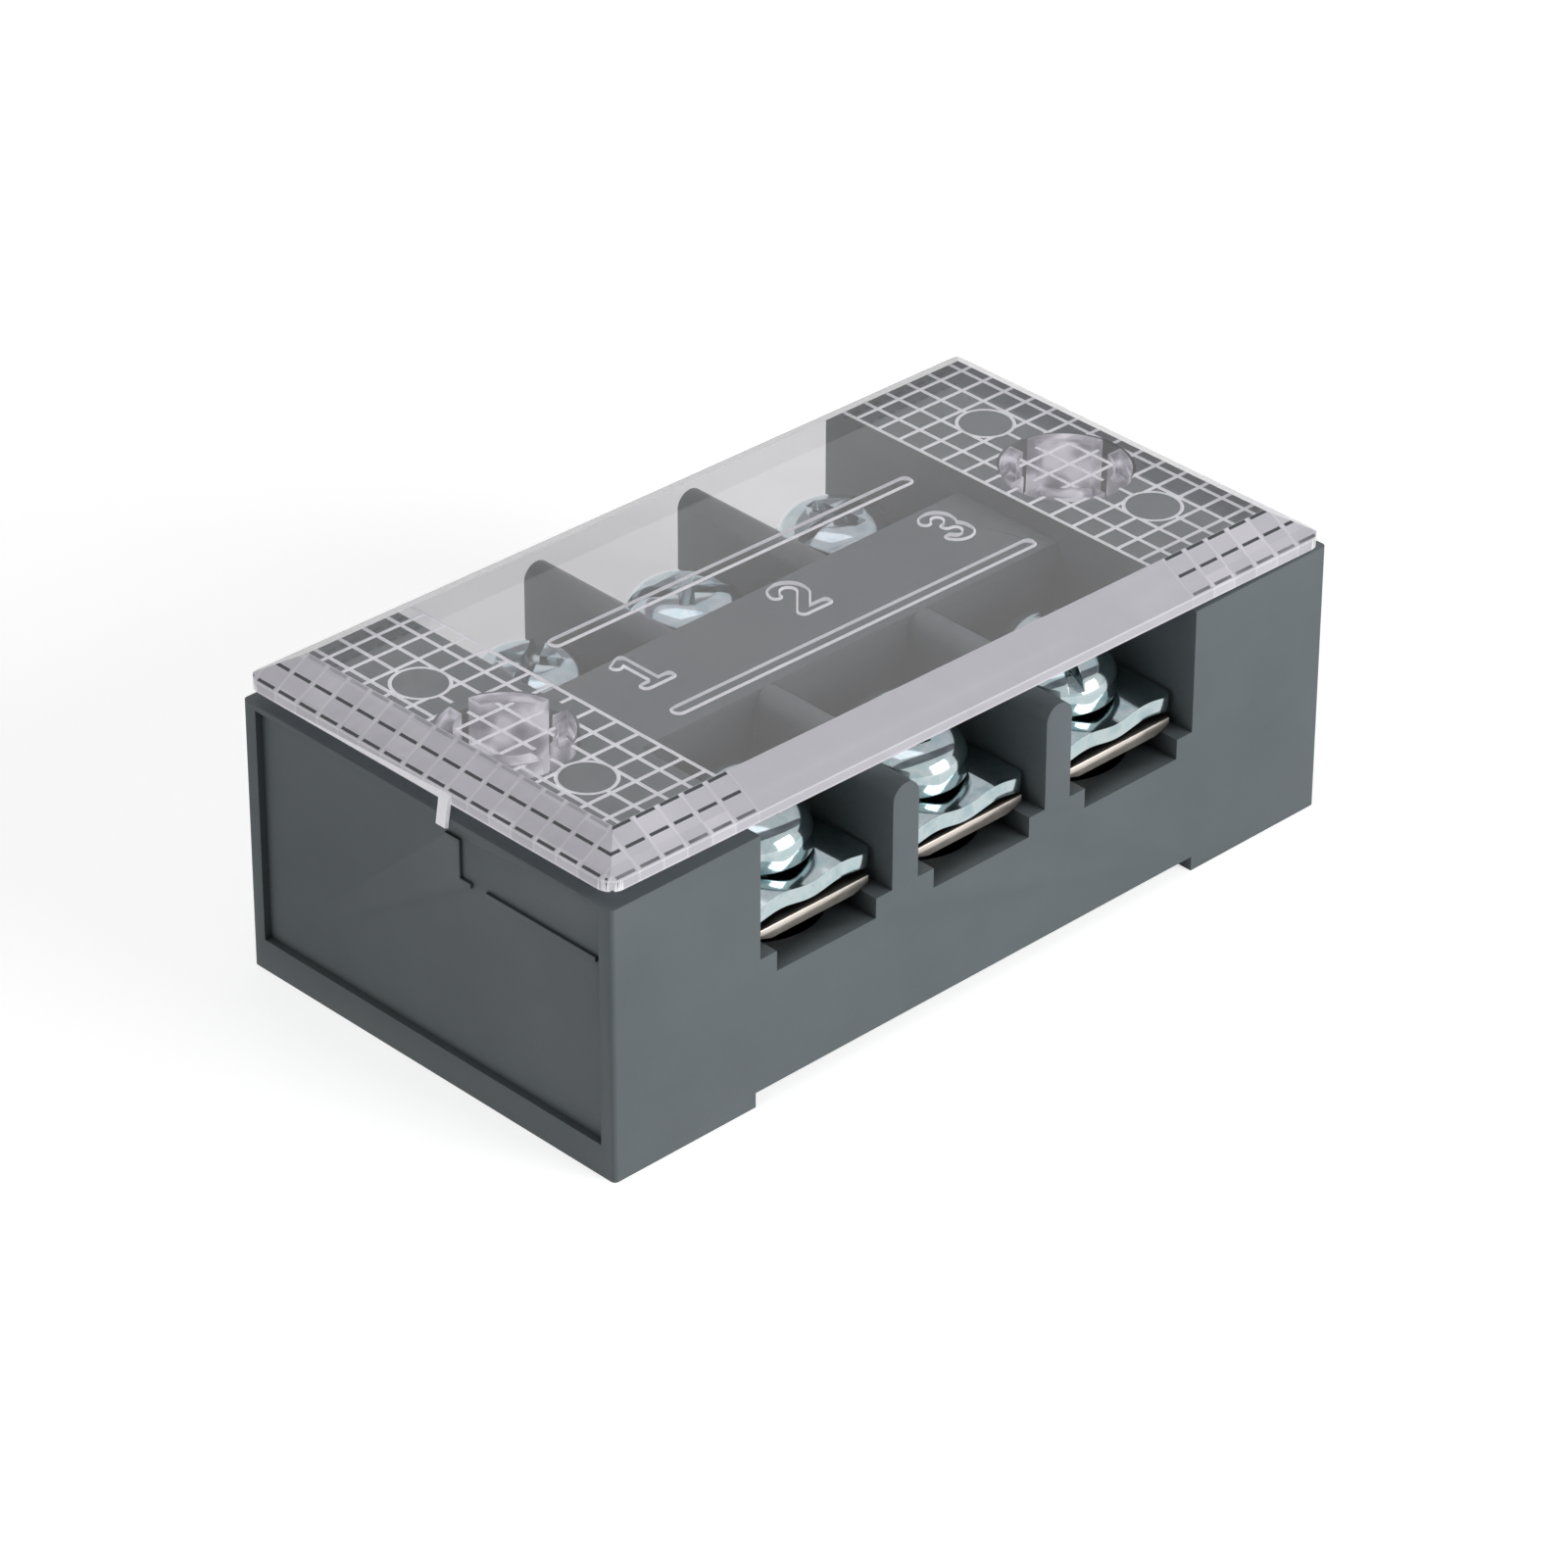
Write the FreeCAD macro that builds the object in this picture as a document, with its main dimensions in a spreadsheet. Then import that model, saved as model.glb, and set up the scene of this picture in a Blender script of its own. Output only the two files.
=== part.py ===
import FreeCAD, Part
import math
import os

import Sketcher

# Barrier terminal strip with three poles, in millimetres.
# The block stands on its feet: X runs along its length, the near wire side faces -Y, and Z is up.
# The origin is the middle of the footprint, on the surface that the feet stand on.

V = FreeCAD.Vector
POLES = (1, 2, 3)
SIDES = {"front": -1, "rear": 1}

doc = FreeCAD.newDocument("terminal_strip")
sheet = doc.addObject("Spreadsheet::Sheet", "sizes")

DRIVING_SIZES = (
    # Moulded base
    ("end_block", 9.95),
    ("body_width", 30.2),
    ("body_height", 17.6),
    ("corner_radius", 0.3),
    ("pole_pitch", 12.1),
    ("pocket_width", 10.1),
    ("bridge_gap", 0.2),
    ("rib_drop", 1.4),
    ("rib_margin", 0.5),
    ("seat_height", 9.6),
    ("relief_width", 7.6),
    ("relief_depth", 1.3),
    ("well_diameter", 8.4),
    ("well_floor", 2.8),
    ("foot_length", 10.6),
    ("foot_height", 0.95),
    ("panel_depth", 0.5),
    ("panel_side_border", 1.05),
    ("panel_bottom_border", 2.05),
    ("panel_top_border", 0.35),
    ("gauge_edge", 0.6),
    ("gauge_length", 8.8),
    ("gauge_gap", 1.2),
    ("gauge_foot", 1.15),
    ("gauge_step", 2.3),
    ("gauge_top", 0.9),
    ("gauge_line", 0.3),
    ("gauge_height", 13.65),
    ("gauge_relief", 0.2),
    # Fixing holes, which also take the posts of the cover
    ("fixing_setback", 6.1),
    ("fixing_hole", 4.5),
    ("fixing_seat", 8.5),
    ("post_socket", 8.2),
    # Contact strips
    ("strip_width", 8.6),
    ("strip_thickness", 0.85),
    ("strip_setback", 1.1),
    ("strip_slot_gap", 0.05),
    ("strip_bevel_run", 1.25),
    ("strip_bevel_rise", 0.4),
    ("collar_diameter", 5.6),
    ("collar_depth", 1.2),
    # Terminal screws
    ("screw_setback", 6.05),
    ("thread_diameter", 4.0),
    ("thread_gap", 0.05),
    ("screw_length", 8.0),
    ("screw_tip", 0.5),
    ("head_diameter", 7.0),
    ("head_height", 2.6),
    ("head_rounding", 1.7),
    ("drive_slot", 0.9),
    ("drive_slot_depth", 1.1),
    ("cross_width", 1.1),
    ("cross_span", 4.3),
    ("cross_depth", 1.9),
    ("cross_taper", 14.0),
    ("seat_gap", 0.06),
    # Wavy clamp plates
    ("clamp_gap", 0.2),
    ("clamp_thickness", 0.95),
    ("clamp_wave", 0.3),
    ("clamp_quarter_wave", 1.2),
    ("clamp_corner", 0.9),
    ("clamp_hole", 4.4),
    ("clamp_rest_1", 0.4),
    ("clamp_rest_2", 0.12),
    ("clamp_rest_3", 0.35),
    # Clear cover
    ("cover_end_gap", 0.1),
    ("cover_side_gap", 0.2),
    ("cover_thickness", 2.2),
    ("cover_lip", 0.7),
    ("cover_bevel", 2.5),
    ("cover_corner", 1.0),
    ("cover_end_lift", 0.85),
    ("cover_rest_gap", 0.02),
    ("post_diameter", 7.8),
    ("post_wall", 1.0),
    ("post_length", 5.0),
    ("post_slit", 1.4),
    ("post_bead", 0.1),
    ("post_bead_length", 0.9),
    ("grid_inset", 1.15),
    ("grid_pitch", 1.77),
    ("grid_line", 0.3),
    ("grid_depth", 0.12),
    ("grid_margin", 0.15),
    ("disc_diameter", 3.4),
    ("disc_offset", 0.2),
    ("disc_y", 6.8),
    ("disc_line", 0.24),
    ("mark_depth", 0.35),
    ("frame_line_half", 13.7),
    ("frame_line_y", 5.0),
    ("frame_line_width", 0.8),
    ("digit_height", 3.6),
    ("digit_stroke", 0.6),
    ("digit_x", -0.3),
    ("digit_y", -0.4),
    ("stub_length", 1.9),
    ("stub_width", 0.75),
    ("stub_thickness", 0.5),
    ("stub_offset", 1.9),
    ("stub_gap", 0.15),
)
DERIVED_SIZES = (
    ("body_length", "=%d * pole_pitch + 2 * end_block" % len(POLES)),
    ("clamp_size", "=pocket_width - 2 * clamp_gap"),
    ("bridge_width", "=body_width - 2 * screw_setback - clamp_size - 2 * bridge_gap"),
    ("fixing_pitch", "=body_length - 2 * fixing_setback"),
    ("cover_length", "=body_length - 2 * cover_end_gap"),
    ("cover_width", "=body_width - 2 * cover_side_gap"),
    ("grid_inner", "=%d * pole_pitch / 2 - grid_inset" % len(POLES)),
    ("disc_x", "=fixing_pitch / 2 + disc_offset"),
)
for row, (alias, value) in enumerate(DRIVING_SIZES + DERIVED_SIZES, start=1):
    sheet.set("A%d" % row, alias)
    sheet.set("B%d" % row, str(value))
    sheet.setAlias("B%d" % row, alias)
ALIASES = [alias for alias, value in DRIVING_SIZES + DERIVED_SIZES]
doc.recompute()


def size(alias):
    """A driving dimension's number, for the shapes that are drawn outside the sketcher."""
    return float(getattr(sheet, alias))


def bound(text):
    """An expression in the sheet's names: each alias gets the sheet's name in front."""
    for alias in sorted(ALIASES, key=len, reverse=True):
        text = text.replace("<%s>" % alias, "sizes.%s" % alias)
    return text


# Helpers: sketches, bodies and solids whose sizes follow the sheet


def place(obj, x="0", y="0", z="0"):
    """Binds an object's place to the sheet."""
    for axis, text in zip("xyz", (x, y, z)):
        obj.setExpression("Placement.Base.%s" % axis, bound("(%s) * 1 mm" % text))


def new_body(name):
    body = doc.addObject("PartDesign::Body", name)
    body.Label = name
    return body


def new_sketch(body, name, plane):
    """A sketch on one of the body's own origin planes."""
    sketch = body.newObject("Sketcher::SketchObject", name)
    support = [item for item in body.Origin.OriginFeatures if item.Role == plane][0]
    sketch.AttachmentSupport = [(support, "")]
    sketch.MapMode = "FlatFace"
    return sketch


def bind_point(sketch, geometry, position, x, y, guess=(1.0, 1.0)):
    """Ties one point of the sketch to two expressions, from a first guess."""
    for kind, text, value in (("DistanceX", x, guess[0]), ("DistanceY", y, guess[1])):
        index = sketch.addConstraint(Sketcher.Constraint(kind, geometry, position, value))
        sketch.setExpression("Constraints[%d]" % index, bound(text))


def polygon(sketch, points):
    """A closed outline whose corners are pairs of expressions."""
    first = len(sketch.Geometry)
    count = len(points)
    for step in range(count):
        turn = 2 * math.pi * step / count
        after = 2 * math.pi * (step + 1) / count
        start = V(math.cos(turn), math.sin(turn), 0)
        end = V(math.cos(after), math.sin(after), 0)
        sketch.addGeometry(Part.LineSegment(start, end), False)
    for step in range(count):
        after = first + (step + 1) % count
        sketch.addConstraint(Sketcher.Constraint("Coincident", first + step, 2, after, 1))
    for step, (x, y) in enumerate(points):
        bind_point(sketch, first + step, 1, x, y)


def rectangle(sketch, x_low, x_high, y_low, y_high):
    polygon(sketch, [(x_low, y_low), (x_high, y_low), (x_high, y_high), (x_low, y_high)])


def circle(sketch, x, y, diameter):
    index = sketch.addGeometry(Part.Circle(V(0, 0, 0), V(0, 0, 1), 1.0), False)
    radius = sketch.addConstraint(Sketcher.Constraint("Radius", index, 1.0))
    sketch.setExpression("Constraints[%d]" % radius, bound("(%s) / 2" % diameter))
    bind_point(sketch, index, 3, x, y)


def extrude(body, kind, name, sketch, length=None, symmetric=False, reverse=False, offset=None):
    """A pad or pocket of a sketch; a length of None goes through the whole piece."""
    feature = body.newObject("PartDesign::%s" % kind, name)
    feature.Profile = sketch
    feature.Reversed = reverse
    if symmetric:
        feature.SideType = "Symmetric"
    if length is None:
        feature.Type = "ThroughAll"
    else:
        feature.setExpression("Length", bound("(%s) * 1 mm" % length))
    if offset is not None:
        sketch.setExpression("AttachmentOffset.Base.z", bound("(%s) * 1 mm" % offset))
    return feature


def rounded_block(body, name, length, width, height, radius):
    """A padded rectangle about the body's origin, with its four upright edges rounded."""
    sketch = new_sketch(body, name + "_outline", "XY_Plane")
    x_half = "(%s) / 2" % length
    y_half = "(%s) / 2" % width
    rectangle(sketch, "-" + x_half, x_half, "-" + y_half, y_half)
    block = extrude(body, "Pad", name + "_block", sketch, height)
    doc.recompute()
    upright = []
    for number, edge in enumerate(block.Shape.Edges, start=1):
        if abs(edge.Vertexes[0].Z - edge.Vertexes[-1].Z) > 0.01:
            upright.append("Edge%d" % number)
    rounding = body.newObject("PartDesign::Fillet", name + "_corners")
    rounding.Base = (block, upright)
    rounding.setExpression("Radius", bound("(%s) * 1 mm" % radius))
    return rounding


def box(name, x_size, y_size, z_size, x, y, z):
    """A block from its sizes and its lowest corner."""
    block = doc.addObject("Part::Box", name)
    for prop, text in (("Length", x_size), ("Width", y_size), ("Height", z_size)):
        block.setExpression(prop, bound("(%s) * 1 mm" % text))
    place(block, x, y, z)
    return block


def cylinder(name, diameter, height, x, y, z):
    rod = doc.addObject("Part::Cylinder", name)
    rod.setExpression("Radius", bound("(%s) / 2 * 1 mm" % diameter))
    rod.setExpression("Height", bound("(%s) * 1 mm" % height))
    place(rod, x, y, z)
    return rod


def fuse(name, shapes):
    joined = doc.addObject("Part::MultiFuse", name)
    joined.Shapes = shapes
    return joined


def cut(name, base, tool):
    result = doc.addObject("Part::Cut", name)
    result.Base = base
    result.Tool = tool
    return result


def solid(name, shape):
    """A piece that is drawn from curves, outside the sketcher."""
    feature = doc.addObject("Part::Feature", name)
    feature.Shape = shape
    return feature


def pole_x(pole):
    return "(%d) * <pole_pitch>" % (pole - 2)


def screw_y(side):
    return "(%d) * (<body_width> / 2 - <screw_setback>)" % side


# Moulded base
# One moulding: two end blocks, three pairs of wire pockets, round-topped ribs between the poles,
# and a central bridge that carries the contact strips.

half_opening = "(<pole_pitch> + <pocket_width> / 2)"
rib_height = "(<body_height> - <rib_drop>)"
rib_radius = "((<pole_pitch> - <pocket_width>) / 2)"


def base_blank(body):
    """The block with rounded upright corners, standing on two feet."""
    rounded_block(body, "base", "<body_length>", "<body_width>", "<body_height>", "<corner_radius>")
    sketch = new_sketch(body, "between_feet", "XZ_Plane")
    inner = "(<body_length> / 2 - <foot_length>)"
    rectangle(sketch, "-" + inner, inner, "-1", "<foot_height>")
    extrude(body, "Pocket", "foot_relief", sketch, None, symmetric=True)


def base_pockets(body):
    """The wire pockets, which are open at the face and at the top."""
    for side_name, side in SIDES.items():
        for pole in POLES:
            name = "%s_%d" % (side_name, pole)
            centre = pole_x(pole)
            low = "%s - <pocket_width> / 2" % centre
            high = "%s + <pocket_width> / 2" % centre
            face = "(%d) * (<body_width> / 2 + 1)" % side
            wall = "(%d) * <bridge_width> / 2" % side
            sketch = new_sketch(body, "pocket_outline_" + name, "XY_Plane")
            rectangle(sketch, low, high, face, wall)
            depth = "<body_height> - <seat_height> + 1"
            extrude(body, "Pocket", "pocket_" + name, sketch, depth, offset="<body_height> + 1")
            low = "%s - <relief_width> / 2" % centre
            high = "%s + <relief_width> / 2" % centre
            sketch = new_sketch(body, "relief_outline_" + name, "XY_Plane")
            rectangle(sketch, low, high, face, wall)
            extrude(body, "Pocket", "relief_" + name, sketch, "<relief_depth> + 1", offset="<seat_height> + 1")
            sketch = new_sketch(body, "well_outline_" + name, "XY_Plane")
            circle(sketch, centre, screw_y(side), "<well_diameter>")
            extrude(body, "Pocket", "well_" + name, sketch, "<seat_height> - <well_floor>", offset="<seat_height>")


def rib_rounding(body, name, side):
    """Rounds the tops of the two ribs on one side of the bridge."""
    sketch = new_sketch(body, "rib_tops_" + name, "XZ_Plane")
    radius = (size("pole_pitch") - size("pocket_width")) / 2
    level = size("body_height") - size("rib_drop") - radius
    base = "(%s - %s)" % (rib_height, rib_radius)
    over = "(%s + <rib_margin>)" % rib_height
    for step in (-1, 1):
        middle = "(%d * <pole_pitch> / 2)" % step
        near = "(%s - %s - <rib_margin>)" % (middle, rib_radius)
        far = "(%s + %s + <rib_margin>)" % (middle, rib_radius)
        centre = V(step * size("pole_pitch") / 2, level, 0)
        arc = Part.ArcOfCircle(Part.Circle(centre, V(0, 0, 1), radius), 0, math.pi)
        arc_index = sketch.addGeometry(arc, False)
        bind_point(sketch, arc_index, 3, middle, base, (centre.x, centre.y))
        start = "(%s + %s)" % (middle, rib_radius)
        bind_point(sketch, arc_index, 1, start, base, (centre.x + radius, centre.y))
        index = sketch.addConstraint(Sketcher.Constraint("DistanceY", arc_index, 2, centre.y))
        sketch.setExpression("Constraints[%d]" % index, bound(base))
        margin = size("rib_margin")
        wide = radius + margin
        corners = [
            (far, base, centre.x + wide, level),
            (far, over, centre.x + wide, level + wide),
            (near, over, centre.x - wide, level + wide),
            (near, base, centre.x - wide, level),
        ]
        ends = [V(centre.x + radius, level, 0)] + [V(x, y, 0) for x_text, y_text, x, y in corners]
        ends.append(V(centre.x - radius, level, 0))
        lines = []
        for first, last in zip(ends, ends[1:]):
            lines.append(sketch.addGeometry(Part.LineSegment(first, last), False))
        for line, after in zip(lines, lines[1:]):
            sketch.addConstraint(Sketcher.Constraint("Coincident", line, 2, after, 1))
        sketch.addConstraint(Sketcher.Constraint("Coincident", lines[0], 1, arc_index, 1))
        sketch.addConstraint(Sketcher.Constraint("Coincident", lines[-1], 2, arc_index, 2))
        for line, (x_text, y_text, x, y) in zip(lines, corners):
            bind_point(sketch, line, 2, x_text, y_text, (x, y))
    offset = "(%d) * <bridge_width> / 2" % -side
    extrude(body, "Pocket", "rib_rounding_" + name, sketch, "<body_width> / 2", reverse=side < 0, offset=offset)


def base_ribs(body):
    """Takes the ribs and the bridge down below the cover, and rounds the tops of the ribs."""
    sketch = new_sketch(body, "above_ribs", "XZ_Plane")
    rectangle(sketch, "-" + half_opening, half_opening, rib_height, "<body_height> + 1")
    extrude(body, "Pocket", "rib_tops", sketch, None, symmetric=True)
    for pole in POLES:
        sketch = new_sketch(body, "strip_slot_outline_%d" % pole, "YZ_Plane")
        top = "<seat_height> + <strip_thickness> + <strip_slot_gap>"
        rectangle(sketch, "-<bridge_width> / 2 - 1", "<bridge_width> / 2 + 1", "<seat_height>", top)
        width = "<strip_width> + 2 * <strip_slot_gap>"
        extrude(body, "Pocket", "strip_slot_%d" % pole, sketch, width, symmetric=True, offset=pole_x(pole))
    for name, side in SIDES.items():
        rib_rounding(body, name, side)


def base_ends(body):
    """Recessed end panels with a thin wire-length gauge line on the left one, and the fixing holes."""
    for name, side in (("left", -1), ("right", 1)):
        sketch = new_sketch(body, "panel_outline_" + name, "YZ_Plane")
        edge = "(<body_width> / 2 - <panel_side_border>)"
        rectangle(sketch, "-" + edge, edge, "<panel_bottom_border>", "<body_height> - <panel_top_border>")
        offset = "(%d) * (<body_length> / 2 - <panel_depth>)" % side
        extrude(body, "Pocket", "panel_" + name, sketch, "<panel_depth> + 1", reverse=side > 0, offset=offset)
    sketch = new_sketch(body, "gauge_outline", "YZ_Plane")
    end = "-(<body_width> / 2 - <panel_side_border> - <gauge_edge>)"
    foot = end + " + <gauge_length> + <gauge_gap>"
    step_in = foot + " + <gauge_foot>"
    step_up = step_in + " + <gauge_top>"
    low = "<gauge_height> - <gauge_line> / 2"
    top = "<gauge_height> + <gauge_line> / 2"
    rise = "<gauge_height> + <gauge_step>"
    rectangle(sketch, end, end + " + <gauge_length>", low, top)
    points = [
        (foot, low),
        (step_in, low),
        (step_in, rise),
        (step_up, rise),
        (step_up, rise + " + <gauge_line>"),
        (step_in + " - <gauge_line>", rise + " + <gauge_line>"),
        (step_in + " - <gauge_line>", top),
        (foot, top),
    ]
    polygon(sketch, points)
    extrude(body, "Pad", "gauge", sketch, "<gauge_relief>", reverse=True, offset="-<body_length> / 2 + <panel_depth>")
    sketch = new_sketch(body, "fixing_holes", "XY_Plane")
    circle(sketch, "-<fixing_pitch> / 2", "0", "<fixing_hole>")
    circle(sketch, "<fixing_pitch> / 2", "0", "<fixing_hole>")
    extrude(body, "Pocket", "fixing_bores", sketch, None, reverse=True)
    sketch = new_sketch(body, "post_sockets", "XY_Plane")
    circle(sketch, "-<fixing_pitch> / 2", "0", "<post_socket>")
    circle(sketch, "<fixing_pitch> / 2", "0", "<post_socket>")
    extrude(body, "Pocket", "post_bores", sketch, "<body_height> - <fixing_seat>", offset="<body_height>")


def build_base():
    body = new_body("base")
    base_blank(body)
    base_pockets(body)
    base_ribs(body)
    base_ends(body)
    return body


# Contact strips
# A flat plated strip runs from the front pocket under the bridge to the rear pocket.
# It has a tapped collar drawn down under each screw, and bevelled lower side edges.


def build_strip(pole):
    name = "contact_strip_%d" % pole
    body = new_body(name)
    place(body, x=pole_x(pole), z="<seat_height>")
    half = "<strip_width> / 2"
    sketch = new_sketch(body, name + "_section", "XZ_Plane")
    run = "<strip_width> / 2 - <strip_bevel_run>"
    points = [
        ("-" + half, "<strip_thickness>"),
        ("-" + half, "<strip_bevel_rise>"),
        ("-(%s)" % run, "0"),
        (run, "0"),
        (half, "<strip_bevel_rise>"),
        (half, "<strip_thickness>"),
    ]
    polygon(sketch, points)
    extrude(body, "Pad", name + "_plate", sketch, "<body_width> - 2 * <strip_setback>", symmetric=True)
    sketch = new_sketch(body, name + "_collars", "XY_Plane")
    for side in SIDES.values():
        circle(sketch, "0", screw_y(side), "<collar_diameter>")
    extrude(body, "Pad", name + "_collar_pad", sketch, "<collar_depth>", reverse=True)
    sketch = new_sketch(body, name + "_threads", "XY_Plane")
    for side in SIDES.values():
        circle(sketch, "0", screw_y(side), "<thread_diameter> + 2 * <thread_gap>")
    extrude(body, "Pocket", name + "_tapping", sketch, None, symmetric=True)
    return body


# Terminal screws
# Pan-head screws with a combined slot and cross, held in the wavy plate under their head.

crest_height = "(<clamp_thickness> + <clamp_wave>)"


def clamp_base(pole):
    """The height of a clamp plate's lowest points."""
    return "(<seat_height> + <strip_thickness> + <clamp_rest_%d>)" % pole


def build_screw(side_name, pole):
    name = "screw_%s_%d" % (side_name, pole)
    body = new_body(name)
    seat = "%s + %s + <seat_gap>" % (clamp_base(pole), crest_height)
    place(body, pole_x(pole), screw_y(SIDES[side_name]), seat)
    sketch = new_sketch(body, name + "_profile", "XZ_Plane")
    shank = "<thread_diameter> / 2"
    points = [
        ("0", "-<screw_length>"),
        (shank + " - <screw_tip>", "-<screw_length>"),
        (shank, "-<screw_length> + <screw_tip>"),
        (shank, "0"),
        ("<head_diameter> / 2", "0"),
        ("<head_diameter> / 2", "<head_height>"),
        ("0", "<head_height>"),
    ]
    polygon(sketch, points)
    turned = body.newObject("PartDesign::Revolution", name + "_turned")
    turned.Profile = sketch
    turned.ReferenceAxis = (sketch, ["V_Axis"])
    doc.recompute()
    rim = []
    for number, edge in enumerate(turned.Shape.Edges, start=1):
        if isinstance(edge.Curve, Part.Circle) and abs(edge.CenterOfMass.z - size("head_height")) < 0.01:
            rim.append("Edge%d" % number)
    dome = body.newObject("PartDesign::Fillet", name + "_dome")
    dome.Base = (turned, rim)
    dome.setExpression("Radius", bound("<head_rounding> * 1 mm"))
    sketch = new_sketch(body, name + "_slot", "XY_Plane")
    reach = "(<head_diameter> / 2 + 1)"
    rectangle(sketch, "-" + reach, reach, "-<drive_slot> / 2", "<drive_slot> / 2")
    depth = "<drive_slot_depth> + 1"
    extrude(body, "Pocket", name + "_slot_cut", sketch, depth, offset="<head_height> + 1")
    for arm, (across, along) in {"x": ("cross_span", "cross_width"), "y": ("cross_width", "cross_span")}.items():
        sketch = new_sketch(body, "%s_cross_%s" % (name, arm), "XY_Plane")
        rectangle(sketch, "-<%s> / 2" % across, "<%s> / 2" % across, "-<%s> / 2" % along, "<%s> / 2" % along)
        wing = extrude(body, "Pocket", "%s_wing_%s" % (name, arm), sketch, "<cross_depth>", offset="<head_height>")
        wing.setExpression("TaperAngle", bound("-<cross_taper> * 1 deg"))
    return body


# Wavy clamp plates
# A square plate under each screw head. It is waved across its width, so that it grips the wire,
# touches the strip in the middle and at its sides, and touches the head on its two crests.


quarter = "<clamp_quarter_wave>"
wave_radius = "((%s ^ 2 + (<clamp_wave> / 2) ^ 2) / <clamp_wave>)" % quarter
wave_end = "(<clamp_size> / 2)"


def wave_arcs(sketch, height, level):
    """The wave at a height: five arcs that turn smoothly from trough to crest and back."""
    length = size("clamp_quarter_wave")
    deep = size("clamp_wave")
    half = size("clamp_size") / 2
    radius = (length ** 2 + (deep / 2) ** 2) / deep
    lift = radius - math.sqrt(radius ** 2 - (half - 4 * length) ** 2)
    lift_text = "%s + %s - sqrt(%s ^ 2 - (%s - 4 * %s) ^ 2)" % (level, wave_radius, wave_radius, wave_end, quarter)
    middle = "%s + <clamp_wave> / 2" % level
    stops = [(-half, height + lift, "-" + wave_end, lift_text)]
    for step in (-3, -1, 1, 3):
        stops.append((step * length, height + deep / 2, "%d * %s" % (step, quarter), middle))
    stops.append((half, height + lift, wave_end, lift_text))
    indices = []
    for number in range(5):
        trough = number % 2 == 0
        centre_y = height + radius if trough else height + deep - radius
        centre = V((number * 2 - 4) * length, centre_y, 0)
        ends = [stops[number], stops[number + 1]] if trough else [stops[number + 1], stops[number]]
        angles = [math.atan2(y - centre.y, x - centre.x) for x, y, x_text, y_text in ends]
        arc = Part.ArcOfCircle(Part.Circle(centre, V(0, 0, 1), radius), angles[0], angles[1])
        index = sketch.addGeometry(arc, False)
        for position, (x, y, x_text, y_text) in enumerate(ends, start=1):
            bind_point(sketch, index, position, x_text, y_text, (x, y))
        constraint = sketch.addConstraint(Sketcher.Constraint("Radius", index, radius))
        sketch.setExpression("Constraints[%d]" % constraint, bound(wave_radius))
        indices.append(index)
    return indices, stops


def build_clamp(side_name, pole):
    name = "clamp_%s_%d" % (side_name, pole)
    wave = new_body(name + "_wave")
    sketch = new_sketch(wave, name + "_section", "XZ_Plane")
    lower, low_stops = wave_arcs(sketch, 0, "0")
    upper, high_stops = wave_arcs(sketch, size("clamp_thickness"), "<clamp_thickness>")
    for stop, position in ((0, 1), (-1, 2)):
        low_x, low_y = low_stops[stop][:2]
        high_x, high_y = high_stops[stop][:2]
        index = sketch.addGeometry(Part.LineSegment(V(low_x, low_y, 0), V(high_x, high_y, 0)), False)
        sketch.addConstraint(Sketcher.Constraint("Coincident", index, 1, lower[stop], position))
        sketch.addConstraint(Sketcher.Constraint("Coincident", index, 2, upper[stop], position))
    extrude(wave, "Pad", name + "_sheet", sketch, "<clamp_size> + 2", symmetric=True)
    blank = new_body(name + "_blank")
    rounded_block(blank, name, "<clamp_size>", "<clamp_size>", "<clamp_thickness> + <clamp_wave>", "<clamp_corner>")
    sketch = new_sketch(blank, name + "_hole", "XY_Plane")
    circle(sketch, "0", "0", "<clamp_hole>")
    extrude(blank, "Pocket", name + "_hole_cut", sketch, None, symmetric=True)
    clamp = doc.addObject("Part::Common", name)
    clamp.Label = name
    clamp.Base = wave
    clamp.Tool = blank
    place(clamp, pole_x(pole), screw_y(SIDES[side_name]), clamp_base(pole))
    return clamp


# Clear cover
# A thick bevelled plate with a flat underside. Split posts hold it in the fixing holes.
# Its ends have a fine grid of grooves underneath, with ejector discs, and the middle has the pole
# numbers and two long frame lines.


def cover_plate():
    body = new_body("cover_plate")
    rounded_block(body, "cover", "<cover_length>", "<cover_width>", "<cover_thickness>", "<cover_corner>")
    long = "<cover_length> / 2"
    wide = "<cover_width> / 2"
    for plane, half in (("XZ_Plane", long), ("YZ_Plane", wide)):
        for name, sign in (("low", "-"), ("high", "")):
            sketch = new_sketch(body, "bevel_%s_%s" % (plane[:2], name), plane)
            slope = "((<cover_thickness> - <cover_lip>) / <cover_bevel>)"
            points = [
                ("%s(%s + 1)" % (sign, half), "<cover_lip> - %s" % slope),
                ("%s(%s - <cover_bevel> - 1)" % (sign, half), "<cover_thickness> + %s" % slope),
                ("%s(%s + 1)" % (sign, half), "<cover_thickness> + %s" % slope),
            ]
            polygon(sketch, points)
            extrude(body, "Pocket", "bevel_cut_%s_%s" % (plane[:2], name), sketch, None, symmetric=True)
    return body


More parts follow.
